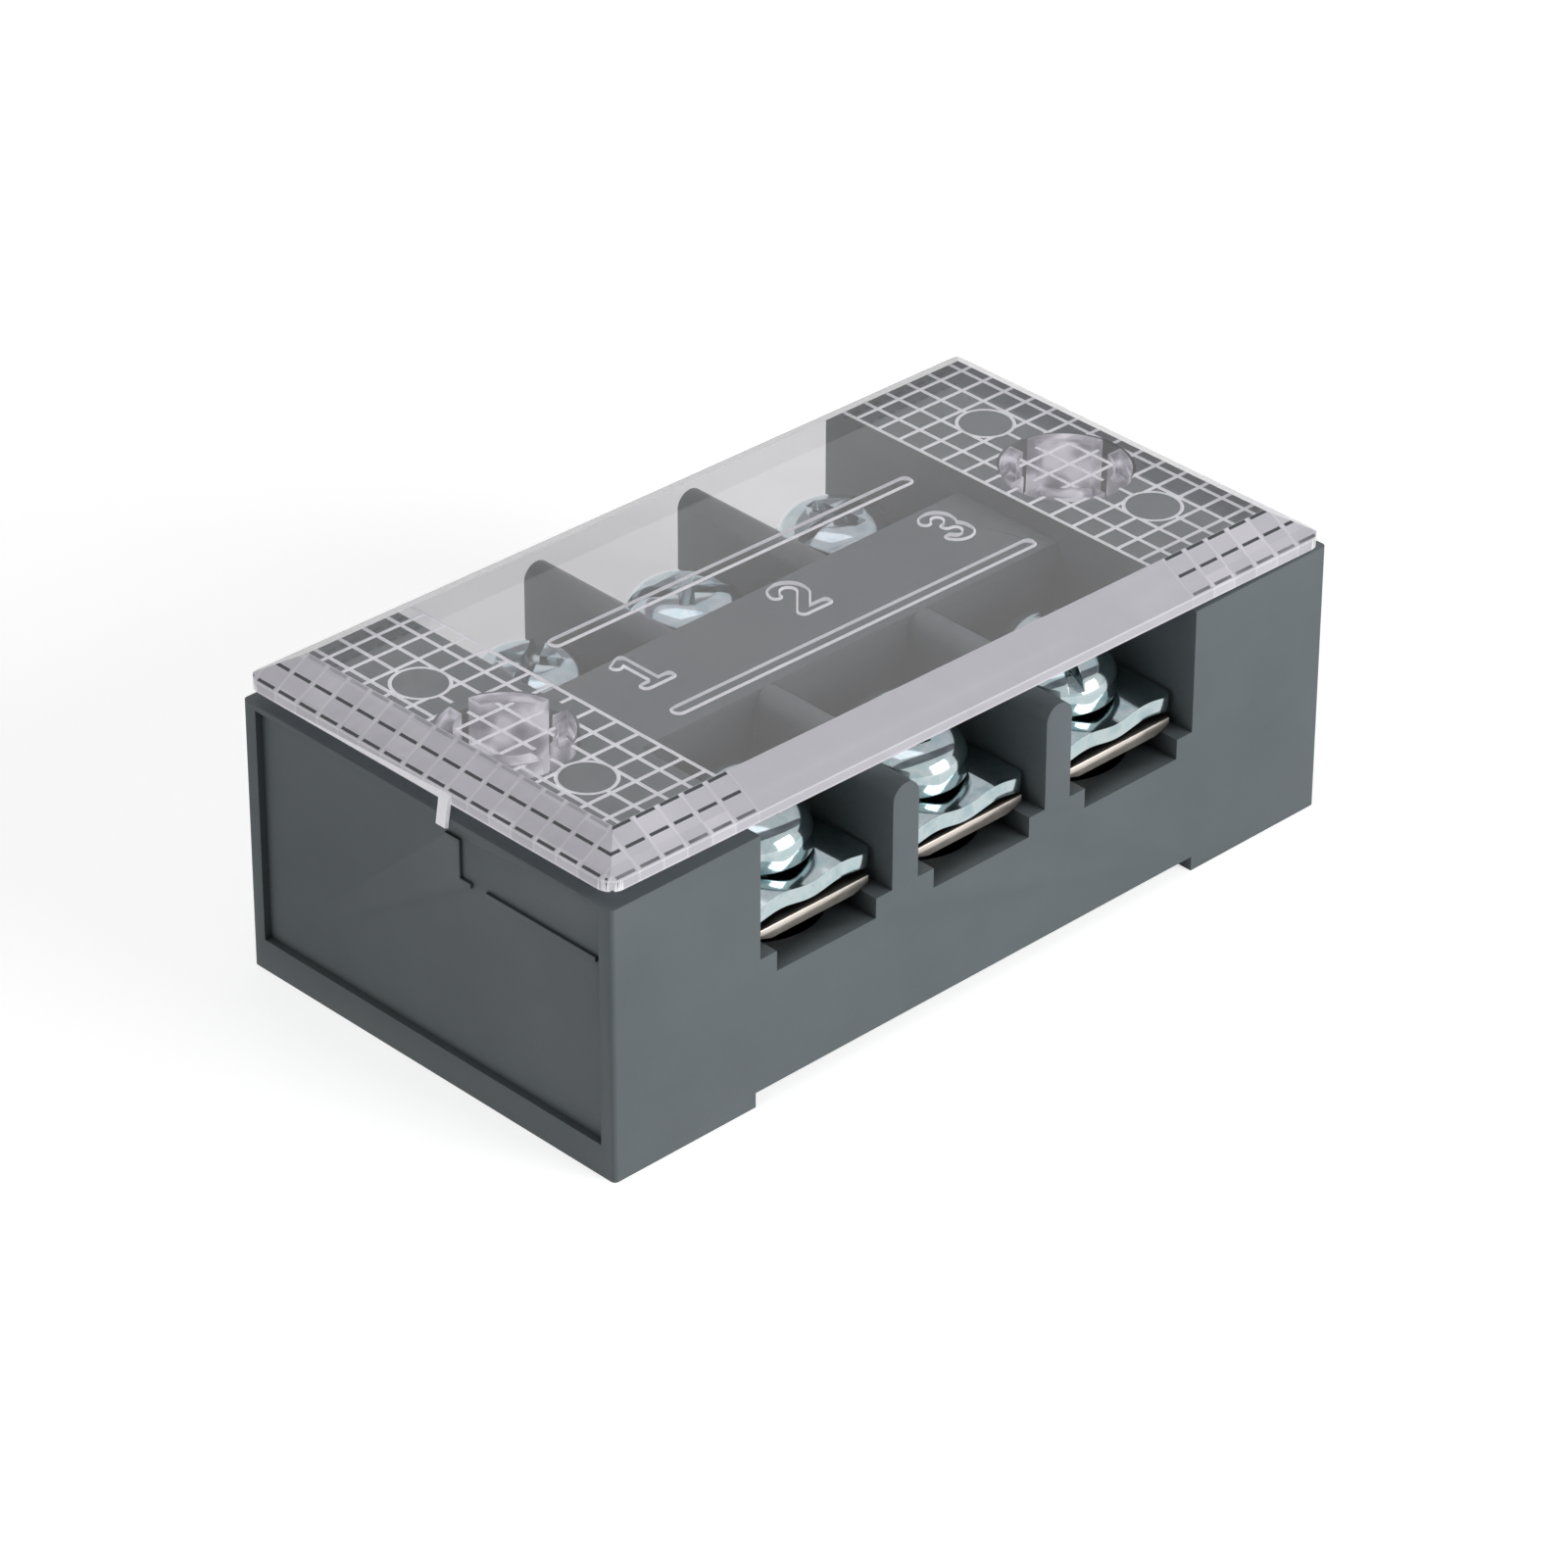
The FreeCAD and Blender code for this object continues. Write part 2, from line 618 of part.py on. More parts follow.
def cover_post(name, side):
    """A hollow post with four prongs, which snaps into a fixing hole's socket."""
    x = "(%d) * <fixing_pitch> / 2" % side
    outer = cylinder(name + "_outer", "<post_diameter>", "<post_length> + 0.2", x, "0", "-<post_length>")
    bead_size = "<post_diameter> + 2 * <post_bead>"
    bead_place = "-<post_length> + <post_bead_length> / 2"
    bead = cylinder(name + "_bead", bead_size, "<post_bead_length>", x, "0", bead_place)
    wall = fuse(name + "_wall", [outer, bead])
    bore = "<post_diameter> - 2 * <post_wall>"
    inner = cylinder(name + "_inner", bore, "<post_length>", x, "0", "-<post_length>")
    reach = "(<post_diameter> + 1)"
    slit_x = box(name + "_slit_x", reach, "<post_slit>", "<post_length>",
                 x + " - %s / 2" % reach, "-<post_slit> / 2", "-<post_length>")
    slit_y = box(name + "_slit_y", "<post_slit>", reach, "<post_length>",
                 x + " - <post_slit> / 2", "-%s / 2" % reach, "-<post_length>")
    return cut(name, wall, fuse(name + "_hollow", [inner, slit_x, slit_y]))


def groove(start, end, width, depth):
    """A straight groove with a V section, cut up into the underside from z = 0."""
    along = (end - start).normalize()
    across = V(0, 0, 1).cross(along) * (width / 2)
    below = V(0, 0, -0.01)
    corners = [start - across + below, start + across + below, start + V(0, 0, depth), start - across + below]
    return Part.Face(Part.makePolygon(corners)).extrude(end - start)


def ring_groove(centre, radius, width, depth):
    """A round groove with a V section, cut up into the underside about a centre."""
    inner = centre + V(radius - width / 2, 0, -0.01)
    outer = centre + V(radius + width / 2, 0, -0.01)
    tip = centre + V(radius, 0, depth)
    section = Part.Face(Part.makePolygon([inner, outer, tip, inner]))
    return section.revolve(centre, V(0, 0, 1), 360)


def grid_grooves(side):
    """The crossed grooves under one end of the cover, which leave out the post's wall and two discs."""
    pitch = size("grid_pitch")
    width = size("grid_line")
    depth = size("grid_depth")
    inner = size("grid_inner")
    edge_x = size("cover_length") / 2
    edge_y = size("cover_width") / 2
    margin = width / 2
    grooves = []
    columns = int((edge_x - inner - margin) / pitch)
    for column in range(columns + 1):
        x = side * (inner + column * pitch)
        grooves.append(groove(V(x, -edge_y + margin, 0), V(x, edge_y - margin, 0), width, depth))
    rows = int((edge_y - margin) / pitch)
    for row in range(-rows, rows + 1):
        ends = sorted((side * inner, side * (edge_x - margin)))
        grooves.append(groove(V(ends[0], row * pitch, 0), V(ends[1], row * pitch, 0), width, depth))
    cut_tool = grooves[0].fuse(grooves[1:])
    middle = V(side * size("fixing_pitch") / 2, 0, -0.5)
    outer = size("post_diameter") / 2 + size("grid_margin")
    bore = size("post_diameter") / 2 - size("post_wall") - size("grid_margin")
    keep = [Part.makeCylinder(outer, 1, middle).cut(Part.makeCylinder(bore, 1, middle))]
    rings = []
    for row in (-1, 1):
        centre = V(side * size("disc_x"), row * size("disc_y"), 0)
        keep.append(Part.makeCylinder(size("disc_diameter") / 2, 1, centre - V(0, 0, 0.5)))
        rings.append(ring_groove(centre, size("disc_diameter") / 2, size("disc_line"), depth))
    return cut_tool.cut(keep[0].fuse(keep[1:])).fuse(rings)


def sunk(outline):
    """A closed outline on the underside, made into the tool that sinks it."""
    face = Part.Face(outline)
    face.translate(V(0, 0, -0.01))
    return face.extrude(V(0, 0, size("mark_depth") + 0.01))


def bar(start, end, width):
    """A straight line of even width with round ends."""
    along = (end - start).normalize() * (width / 2)
    across = V(0, 0, 1).cross(along)
    edges = [
        Part.LineSegment(start - across, end - across).toShape(),
        Part.Arc(end - across, end + along, end + across).toShape(),
        Part.LineSegment(end + across, start + across).toShape(),
        Part.Arc(start + across, start - along, start - across).toShape(),
    ]
    return sunk(Part.Wire(edges))


def bow(centre, radius, first, last, width):
    """A curved line of even width with round ends, between two angles in degrees."""
    def at(angle, distance):
        turn = math.radians(angle)
        return centre + V(distance * math.cos(turn), distance * math.sin(turn), 0)

    outer = radius + width / 2
    inner = radius - width / 2
    middle = (first + last) / 2
    cap = math.degrees(width / 2 / radius) * math.copysign(1, last - first)
    edges = [
        Part.Arc(at(first, outer), at(middle, outer), at(last, outer)).toShape(),
        Part.Arc(at(last, outer), at(last + cap, radius), at(last, inner)).toShape(),
        Part.Arc(at(last, inner), at(middle, inner), at(first, inner)).toShape(),
        Part.Arc(at(first, inner), at(first - cap, radius), at(first, outer)).toShape(),
    ]
    return sunk(Part.Wire(edges))


def digit_tool(digit):
    """The groove for a plain number, as tall as digit_height, about the origin."""
    width = size("digit_stroke")
    high = (size("digit_height") - width) / 2
    wide = high * 0.58
    if digit == 1:
        flag = bar(V(-wide * 0.8, high * 0.75, 0), V(0, high, 0), width)
        foot = bar(V(-wide, -high, 0), V(wide, -high, 0), width)
        return flag.fuse([bar(V(0, high, 0), V(0, -high, 0), width), foot])
    if digit == 2:
        centre = V(0, high - wide, 0)
        last = -35
        turn = math.radians(last)
        leave = centre + V(wide * math.cos(turn), wide * math.sin(turn), 0)
        top = bow(centre, wide, 170, last, width)
        foot = bar(V(-wide, -high, 0), V(wide, -high, 0), width)
        return top.fuse([bar(leave, V(-wide, -high, 0), width), foot])
    upper = bow(V(-wide * 0.1, high / 2, 0), high / 2, 155, -90, width)
    return upper.fuse(bow(V(-wide * 0.1, -high / 2, 0), high / 2, 90, -155, width))


def cover_marks():
    """The grooves for the pole numbers and the two frame lines."""
    marks = []
    for pole in POLES:
        digit = digit_tool(pole)
        digit.translate(V((pole - 2) * size("pole_pitch") + size("digit_x"), size("digit_y"), 0))
        marks.append(digit)
    for side in SIDES.values():
        reach = size("frame_line_half")
        y = side * size("frame_line_y")
        marks.append(bar(V(-reach, y, 0), V(reach, y, 0), size("frame_line_width")))
    return marks


def gate_stub():
    """The moulding gate's broken stub, bent down past the left end of the base."""
    edge = -size("cover_length") / 2
    clear = edge - (size("body_length") - size("cover_length")) / 2 - size("stub_gap")
    thick = size("stub_thickness")
    wide = size("stub_width")
    y = -size("stub_offset") - wide / 2
    top = size("cover_lip") * 0.85
    root = 0.15
    drop = size("stub_length")
    outline = [
        V(edge + root, y, top),
        V(clear, y, top * 0.8),
        V(clear - thick * 0.5, y, top - drop),
        V(clear, y, top - drop - 0.1),
        V(edge - 0.02, y, 0.1),
        V(edge + root, y, 0.1),
    ]
    return Part.Face(Part.makePolygon(outline + outline[:1])).extrude(V(0, wide, 0))


def build_cover():
    plate = cover_plate()
    posts = [cover_post("cover_post_left", -1), cover_post("cover_post_right", 1)]
    stub = solid("cover_stub", gate_stub())
    shell = fuse("cover_shell", [plate] + posts + [stub])
    tools = Part.makeCompound([grid_grooves(-1), grid_grooves(1)] + cover_marks())
    cover = cut("cover", shell, solid("cover_grooves", tools))
    cover.Label = "cover"
    span = "<cover_length>"
    tilt = "asin(<cover_end_lift> / %s)" % span
    hinge_x = "<cover_length> / 2"
    cover.Placement.Rotation = FreeCAD.Rotation(V(0, 1, 0), 1)
    cover.setExpression("Placement.Rotation.Angle", bound(tilt))
    place(
        cover,
        x="%s * (1 - cos(%s))" % (hinge_x, tilt),
        z="<body_height> + <cover_rest_gap> + %s * sin(%s)" % (hinge_x, tilt),
    )
    return cover


# The assembly

pieces = [build_base()]
pieces += [build_strip(pole) for pole in POLES]
for side_name in SIDES:
    for pole in POLES:
        pieces.append(build_clamp(side_name, pole))
        pieces.append(build_screw(side_name, pole))
pieces.append(build_cover())
doc.recompute()

for obj in doc.Objects:
    if "Invalid" in obj.State or "Error" in obj.State:
        raise RuntimeError("%s failed: %s" % (obj.Name, obj.State))
for piece in pieces:
    shape = piece.Shape
    if shape.isNull() or not shape.isValid() or len(shape.Solids) != 1:
        raise RuntimeError("%s is not one valid solid" % piece.Label)

os.makedirs("parts", exist_ok=True)
for piece in pieces:
    piece.Shape.exportStep("parts/%s.step" % piece.Label)
    bounds = piece.Shape.BoundBox
    print("%-18s volume %9.2f  x %7.2f %7.2f  y %7.2f %7.2f  z %6.2f %6.2f" % (
        piece.Label, piece.Shape.Volume, bounds.XMin, bounds.XMax,
        bounds.YMin, bounds.YMax, bounds.ZMin, bounds.ZMax))
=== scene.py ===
# %% [markdown]
# Barrier terminal strip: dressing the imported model
#
# The object is a moulded grey block with three plated contact strips across it. Each strip has a
# screw and a wavy clamp plate at both ends, and a clear cover is clipped on top of the whole block.
# The CAD model gives the place of every piece. This script gives each one its real surface:
# softened edges, threads, plated metal and clear plastic. It lights them as in the photograph.

import math

import bpy
from mathutils import Matrix, Vector


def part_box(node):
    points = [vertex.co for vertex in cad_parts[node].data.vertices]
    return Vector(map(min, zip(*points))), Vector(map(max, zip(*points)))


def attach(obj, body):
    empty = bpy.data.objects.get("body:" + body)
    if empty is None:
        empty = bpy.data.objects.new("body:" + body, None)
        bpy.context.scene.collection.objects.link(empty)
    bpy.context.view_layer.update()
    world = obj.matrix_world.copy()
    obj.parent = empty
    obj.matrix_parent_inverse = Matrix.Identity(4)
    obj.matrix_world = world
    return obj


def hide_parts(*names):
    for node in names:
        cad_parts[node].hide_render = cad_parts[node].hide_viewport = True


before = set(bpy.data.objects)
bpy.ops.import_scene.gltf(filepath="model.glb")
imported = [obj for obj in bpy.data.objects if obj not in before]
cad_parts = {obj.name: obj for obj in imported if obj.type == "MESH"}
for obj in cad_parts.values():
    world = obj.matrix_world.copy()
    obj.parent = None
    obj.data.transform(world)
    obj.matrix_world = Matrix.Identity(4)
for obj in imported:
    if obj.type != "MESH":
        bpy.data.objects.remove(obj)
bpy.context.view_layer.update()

# %% [markdown]
# Names for the object's own layout
#
# The three poles stand in a row along X, and each has a screw at the front (-Y) and at the rear (+Y).
# The frame is in metres. Sizes below are in millimetres and are multiplied by MM where they are used.

# %% Layout
MM = 0.001
POLES = (1, 2, 3)
SIDES = ("front", "rear")
TERMINALS = [(side, pole) for side in SIDES for pole in POLES]


def node_middle(node):
    """The middle of a CAD node's box at rest."""
    low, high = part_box(node)
    return (low + high) / 2


for pole in POLES:
    print("pole", pole, "is centred on x =", round(node_middle("contact_strip_%d" % pole).x / MM, 2), "mm")

# %% [markdown]
# Working by hand, in code
#
# Every piece below starts as a primitive or as a copy of its CAD node, and is shaped with the same
# operators as in the window. An operator acts on whatever is selected, so each step first selects
# one object, or the faces or edges that a short rule picks out. These helpers do that selecting.

# %% Selecting helpers


def work_on(*objects):
    """Selects these objects alone and makes the first one active."""
    bpy.ops.object.select_all(action="DESELECT")
    for item in objects:
        item.select_set(True)
    bpy.context.view_layer.objects.active = objects[0]
    return objects[0]


def edit(kind="FACE"):
    """Enters edit mode with nothing selected."""
    bpy.ops.object.mode_set(mode="EDIT")
    bpy.ops.mesh.select_mode(type=kind)
    bpy.ops.mesh.select_all(action="DESELECT")


def leave_edit():
    bpy.ops.object.mode_set(mode="OBJECT")


def pick_faces(piece, rule):
    """Selects the faces whose centre and normal pass the rule."""
    leave_edit()
    count = 0
    for face in piece.data.polygons:
        face.select = bool(rule(face.center, face.normal))
        count += face.select
    bpy.ops.object.mode_set(mode="EDIT")
    return count


def pick_edges(piece, rule):
    """Selects the edges whose two ends pass the rule."""
    leave_edit()
    points = piece.data.vertices
    for edge in piece.data.edges:
        edge.select = bool(rule(points[edge.vertices[0]].co, points[edge.vertices[1]].co))
    bpy.ops.object.mode_set(mode="EDIT")


# %% [markdown]
# Finishing a piece
#
# A piece ends at the origin, unturned and unscaled, with its place in its mesh.

# %% Shaping helpers


def settle(piece):
    """Puts the object at the origin, unturned and unscaled, with its place in its mesh."""
    work_on(piece)
    bpy.ops.object.transform_apply(location=True, rotation=True, scale=True)
    return piece


def apply_modifier(piece, kind, name, **settings):
    """Adds a modifier, sets it and applies it."""
    work_on(piece)
    modifier = piece.modifiers.new(name, kind)
    for setting, value in settings.items():
        setattr(modifier, setting, value)
    bpy.ops.object.modifier_apply(modifier=name)
    return piece


def round_edges(piece, width, segments, degrees, **settings):
    """Rounds the edges that are sharper than an angle, by a width in millimetres."""
    return apply_modifier(
        piece, "BEVEL", "soft_edges", width=width * MM, segments=segments,
        limit_method="ANGLE", angle_limit=math.radians(degrees), **settings,
    )


def boolean(piece, tool, operation):
    """Cuts, joins or trims a piece with a tool, and throws the tool away."""
    apply_modifier(piece, "BOOLEAN", operation.lower(), operation=operation, object=tool, solver="EXACT")
    bpy.data.objects.remove(tool)
    return piece


def smooth(piece, degrees=35):
    work_on(piece)
    bpy.ops.object.shade_smooth_by_angle(angle=math.radians(degrees))
    return piece


def copy_of(piece, name):
    """A copy with its own mesh."""
    twin = piece.copy()
    twin.data = piece.data.copy()
    twin.name = name
    twin.data.name = name
    bpy.context.scene.collection.objects.link(twin)
    return twin


def report(piece):
    piece.data.calc_loop_triangles()
    print("%-18s %6d triangles" % (piece.name, len(piece.data.loop_triangles)))
    return piece


def dress(piece, body, slot, finish, *nodes):
    """Gives a finished piece its finish and its body, and hides the CAD nodes that it stands for."""
    if finish is not None:
        piece.data.materials.clear()
        piece.data.materials.append(finish)
    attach(piece, body)
    if nodes:
        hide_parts(*nodes)
    return report(piece)


# %% [markdown]
# Building a finish from nodes
#
# Each finish is a small network that ends in one Principled shader. Patterns read Object
# coordinates in metres, so they keep their real size on every piece and stay put in every view.

# %% Node helpers


def new_finish(name):
    finish = bpy.data.materials.new(name)
    finish.use_nodes = True
    nodes = finish.node_tree.nodes
    nodes.clear()
    shader = nodes.new("ShaderNodeBsdfPrincipled")
    output = nodes.new("ShaderNodeOutputMaterial")
    finish.node_tree.links.new(shader.outputs["BSDF"], output.inputs["Surface"])
    return finish, shader


def connect(finish, value, socket):
    """Links a socket to another one, or sets it to a plain value."""
    if isinstance(value, bpy.types.NodeSocket):
        finish.node_tree.links.new(value, socket)
    else:
        socket.default_value = value


def add_node(finish, kind, **inputs):
    """A node with some of its inputs set."""
    node = finish.node_tree.nodes.new(kind)
    for name, value in inputs.items():
        connect(finish, value, node.inputs[name.replace("_", " ")])
    return node


def calc(finish, operation, *values):
    """One step of arithmetic on numbers or sockets."""
    node = add_node(finish, "ShaderNodeMath")
    node.operation = operation
    for value, socket in zip(values, node.inputs):
        connect(finish, value, socket)
    return node.outputs["Value"]


def scaled(finish, colour, number):
    """A colour times a number."""
    node = add_node(finish, "ShaderNodeVectorMath")
    node.operation = "SCALE"
    connect(finish, colour, node.inputs["Vector"])
    connect(finish, number, node.inputs["Scale"])
    return node.outputs["Vector"]


# %% Pattern helpers


def object_place(finish, stretch=(1, 1, 1)):
    """Object coordinates, stretched along the axes."""
    place = add_node(finish, "ShaderNodeTexCoord")
    mapping = add_node(finish, "ShaderNodeMapping", Vector=place.outputs["Object"], Scale=stretch)
    return mapping.outputs["Vector"]


def noise(finish, grain, detail=4.0, rough=0.5, stretch=(1, 1, 1)):
    """Noise whose grain is a size in millimetres."""
    node = add_node(
        finish, "ShaderNodeTexNoise", Vector=object_place(finish, stretch),
        Scale=1 / (grain * MM), Detail=detail, Roughness=rough,
    )
    return node.outputs["Fac"]


def ramp(finish, value, stops):
    """A colour ramp from (position, colour) stops."""
    node = add_node(finish, "ShaderNodeValToRGB", Fac=value)
    elements = node.color_ramp.elements
    while len(elements) < len(stops):
        elements.new(0.5)
    for element, (position, colour) in zip(elements, stops):
        element.position = position
        element.color = (*colour, 1)
    return node.outputs["Color"]


def spread(finish, value, low, high, from_low=0.3, from_high=0.7):
    """A number that runs from low to high as the value does."""
    node = add_node(finish, "ShaderNodeMapRange", Value=value)
    node.inputs["From Min"].default_value = from_low
    node.inputs["From Max"].default_value = from_high
    node.inputs["To Min"].default_value = low
    node.inputs["To Max"].default_value = high
    return node.outputs["Result"]


def bump(finish, height, depth, strength=1.0, under=None):
    """A bump whose depth is in millimetres."""
    node = add_node(finish, "ShaderNodeBump", Height=height, Strength=strength, Distance=depth * MM)
    if under is not None:
        connect(finish, under, node.inputs["Normal"])
    return node.outputs["Normal"]


def srgb(code):
    """A colour as it looks on the screen, such as 6b7477, in the shader's linear numbers."""
    parts = [int(code[index:index + 2], 16) / 255 for index in (0, 2, 4)]
    return tuple(part / 12.92 if part <= 0.04045 else ((part + 0.055) / 1.055) ** 2.4 for part in parts)


# %% [markdown]
# Shade in deep places
#
# Little light reaches the bottom of a wire pocket. An Ambient Occlusion node measures how much of
# the room around a point is open, up to a reach in millimetres, and a finish is darkened by it. The
# block looks at its own walls only, and the metal pieces look at everything around them.

# %% Shade in deep places
BASE_SHADE = {"reach": 14.0, "lowest": 0.1, "dark": 0.3, "light": 0.9, "own_only": True}
STRIP_SHADE = {"reach": 2.5, "lowest": 0.03, "dark": 0.35, "light": 0.75, "own_only": False}
ZINC_SHADE = {"reach": 4.0, "lowest": 0.5, "dark": 0.15, "light": 0.55, "own_only": False}
SHADE_SAMPLES = 8


def pocket_shade(finish, reach, lowest, dark, light, own_only):
    """A number that is 1 in the open and falls to the lowest one in a deep place."""
    pocket = add_node(finish, "ShaderNodeAmbientOcclusion", Distance=reach * MM)
    pocket.only_local = own_only
    pocket.samples = SHADE_SAMPLES
    return spread(finish, pocket.outputs["AO"], lowest, 1.0, dark, light)


# %% [markdown]
# Finish of the block: grey moulded thermoplastic
#
# The block is a glass-filled plastic with an even, satin skin. A fine grain gives it its sheen, a
# slow cloudiness of two or three shades breaks up the colour, and faint flow lines run along the
# moulding. A plain roughness would look like paint, so the roughness follows the same grain.

# %% Moulded plastic
PLASTIC_SHEEN = 0.35


def moulded_plastic():
    finish, shader = new_finish("moulded_plastic")
    cloud = noise(finish, 7, detail=3)
    flow = noise(finish, 1.6, detail=4, stretch=(0.25, 1, 1.6))
    grain = noise(finish, 0.12, detail=2)
    tone = calc(finish, "ADD", cloud, spread(finish, flow, -0.04, 0.04))
    colour = ramp(finish, tone, [(0.3, srgb("5f676a")), (0.5, srgb("626a6d")), (0.7, srgb("656d70"))])
    # The colour and the specular level are darkened in deep pockets: painted shade.
    shade = pocket_shade(finish, **BASE_SHADE)
    connect(finish, scaled(finish, colour, shade), shader.inputs["Base Color"])
    connect(finish, spread(finish, grain, 0.45, 0.55), shader.inputs["Roughness"])
    shader.inputs["IOR"].default_value = 1.5
    connect(finish, calc(finish, "MULTIPLY", shade, PLASTIC_SHEEN), shader.inputs["Specular IOR Level"])
    normal = bump(finish, grain, 0.004, 0.4)
    normal = bump(finish, flow, 0.006, 0.2, under=normal)
    connect(finish, normal, shader.inputs["Normal"])
    return finish


BODY_PLASTIC = moulded_plastic()
print("finish made:", BODY_PLASTIC.name)

# %% [markdown]
# Finish of the contact strips: bright plating
#
# The strips are rolled brass with a warm white plating. Rolling leaves faint lines along Y, and the
# plating has soft cloudy patches, so both the colour and the roughness vary a little.

# %% Bright plating


def bright_plating():
    finish, shader = new_finish("bright_plating")
    lines = noise(finish, 0.5, detail=2, stretch=(1, 0.05, 1))
    patches = noise(finish, 2.4, detail=3)
    colour = ramp(finish, patches, [(0.3, srgb("d6ccc2")), (0.55, srgb("ded6cc")), (0.75, srgb("e6e0d8"))])
    # Painted shade darkens the colour where the clamp plates and walls close in over the strip.
    connect(finish, scaled(finish, colour, pocket_shade(finish, **STRIP_SHADE)), shader.inputs["Base Color"])
    shader.inputs["Metallic"].default_value = 0.85
    connect(finish, spread(finish, lines, 0.28, 0.36), shader.inputs["Roughness"])
    connect(finish, bump(finish, lines, 0.002, 0.2), shader.inputs["Normal"])
    return finish


STRIP_PLATING = bright_plating()
print("finish made:", STRIP_PLATING.name)

# %% [markdown]
# Finish of the screws and clamp plates: blue-bright zinc
#
# Zinc plating with a blue passivation is almost a mirror. Its colour drifts between silver and a
# cool teal, and tumbling leaves a very fine waviness that breaks reflections into soft streaks.

# %% Blue-bright zinc


def blue_zinc():
    finish, shader = new_finish("blue_zinc")
    drift = noise(finish, 1.3, detail=3)
    waviness = noise(finish, 2.2, detail=1, rough=0.4)
    tumbling = noise(finish, 0.07, detail=2)
    colour = ramp(finish, drift, [(0.28, srgb("a9c0c5")), (0.5, srgb("c6d2d4")), (0.72, srgb("b2cbcf"))])
    # Painted shade darkens the colour near the cover and the walls, for the dark surroundings that the metal
    # mirrors.
    connect(finish, scaled(finish, colour, pocket_shade(finish, **ZINC_SHADE)), shader.inputs["Base Color"])
    shader.inputs["Metallic"].default_value = 1.0
    connect(finish, spread(finish, tumbling, 0.05, 0.16), shader.inputs["Roughness"])
    normal = bump(finish, waviness, 0.02, 0.15)
    normal = bump(finish, tumbling, 0.002, 0.2, under=normal)
    connect(finish, normal, shader.inputs["Normal"])
    return finish


ZINC = blue_zinc()
print("finish made:", ZINC.name)

# %% [markdown]
# Finishes of the cover: clear moulded polycarbonate
#
# The cover is a thick clear plate with a faint lilac cast. Light bends in it as in the real one,
# because the shader transmits and has polycarbonate's own index. The skin is slightly wavy, and a
# few areas are a little hazy from handling, so the roughness isn't the same all over.
#
# The grooves have a frosted finish, because their small faces scatter light. The posts have a glassy
# one with painted pale and dark patches, for the light that their thick walls bend. Both have a
# little painted glow, for the light that runs along in the plate.

# %% Clear, frosted and glassy plastic
POLYCARBONATE_INDEX = 1.58
GROOVE_GLOW = 0.2
POST_GLOW = 0.2


def clear_polycarbonate():
    finish, shader = new_finish("clear_polycarbonate")
    haze = noise(finish, 5, detail=5)
    waviness = noise(finish, 6, detail=2)
    colour = ramp(finish, haze, [(0.3, srgb("f4f2f7")), (0.7, srgb("fbfafc"))])
    connect(finish, colour, shader.inputs["Base Color"])
    shader.inputs["Transmission Weight"].default_value = 1.0
    shader.inputs["IOR"].default_value = POLYCARBONATE_INDEX
    connect(finish, spread(finish, haze, 0.0, 0.03, 0.45, 0.7), shader.inputs["Roughness"])
    connect(finish, bump(finish, waviness, 0.02, 0.1), shader.inputs["Normal"])
    return finish


def frosted_marks():
    """The grooves: a fine frosted grain, and a painted glow for the light that runs along inside the plate.
    """
    finish, shader = new_finish("frosted_marks")
    grain = noise(finish, 0.6, detail=3)
    colour = ramp(finish, grain, [(0.3, srgb("f2f1f6")), (0.7, srgb("f8f8fb"))])
    connect(finish, colour, shader.inputs["Base Color"])
    connect(finish, colour, shader.inputs["Emission Color"])
    shader.inputs["Emission Strength"].default_value = GROOVE_GLOW
    shader.inputs["Transmission Weight"].default_value = 0.05
    shader.inputs["IOR"].default_value = POLYCARBONATE_INDEX
    connect(finish, spread(finish, grain, 0.06, 0.14), shader.inputs["Roughness"])
    return finish


def glassy_posts():
    """The posts: painted pale and dark patches and a painted glow, for the light that their thick walls
    bend.
    """
    finish, shader = new_finish("glassy_posts")
    painted_lobes = noise(finish, 1.8, detail=1)
    colour = ramp(finish, painted_lobes, [(0.38, srgb("86848b")), (0.52, srgb("b7b5bc")), (0.64, srgb("faf8fd"))])
    connect(finish, colour, shader.inputs["Base Color"])
    connect(finish, colour, shader.inputs["Emission Color"])
    shader.inputs["Emission Strength"].default_value = POST_GLOW
    shader.inputs["Transmission Weight"].default_value = 0.4
    shader.inputs["IOR"].default_value = POLYCARBONATE_INDEX
    connect(finish, spread(finish, painted_lobes, 0.04, 0.12), shader.inputs["Roughness"])
    return finish


COVER_CLEAR = clear_polycarbonate()
COVER_MARKS = frosted_marks()
COVER_POSTS = glassy_posts()
for finish in (COVER_CLEAR, COVER_MARKS, COVER_POSTS):
    print("finish made:", finish.name)

# %% [markdown]
# Finish of the cover's rim
#
# Inside the bevelled rim, light is mirrored back and forth many times and comes out as an even,
# pale lilac glow, with the grid's grooves as dark dashes. A renderer gives up after a few mirrorings
# and would leave the rim black, so that light is painted into the rim's colour: a pale painted glow,
# with painted dark dashes worked out from the grid. Two painted bright lines run round the lip, and
# a few cells of the grid have painted glints.

# %% The cover's sizes
COVER_LENGTH = 56.0
COVER_END_LIFT = 0.85
COVER_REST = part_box("base")[1].z / MM + 0.02
COVER_TILT = math.asin(COVER_END_LIFT / COVER_LENGTH)
RIM_EDGE = {"X": 28.0, "Y": 14.9}
GRID_INNER = 17.0
GRID_PITCH = 1.77
LIP_HEIGHT = 0.7
print("the cover is tilted by", round(math.degrees(COVER_TILT), 2), "degrees")

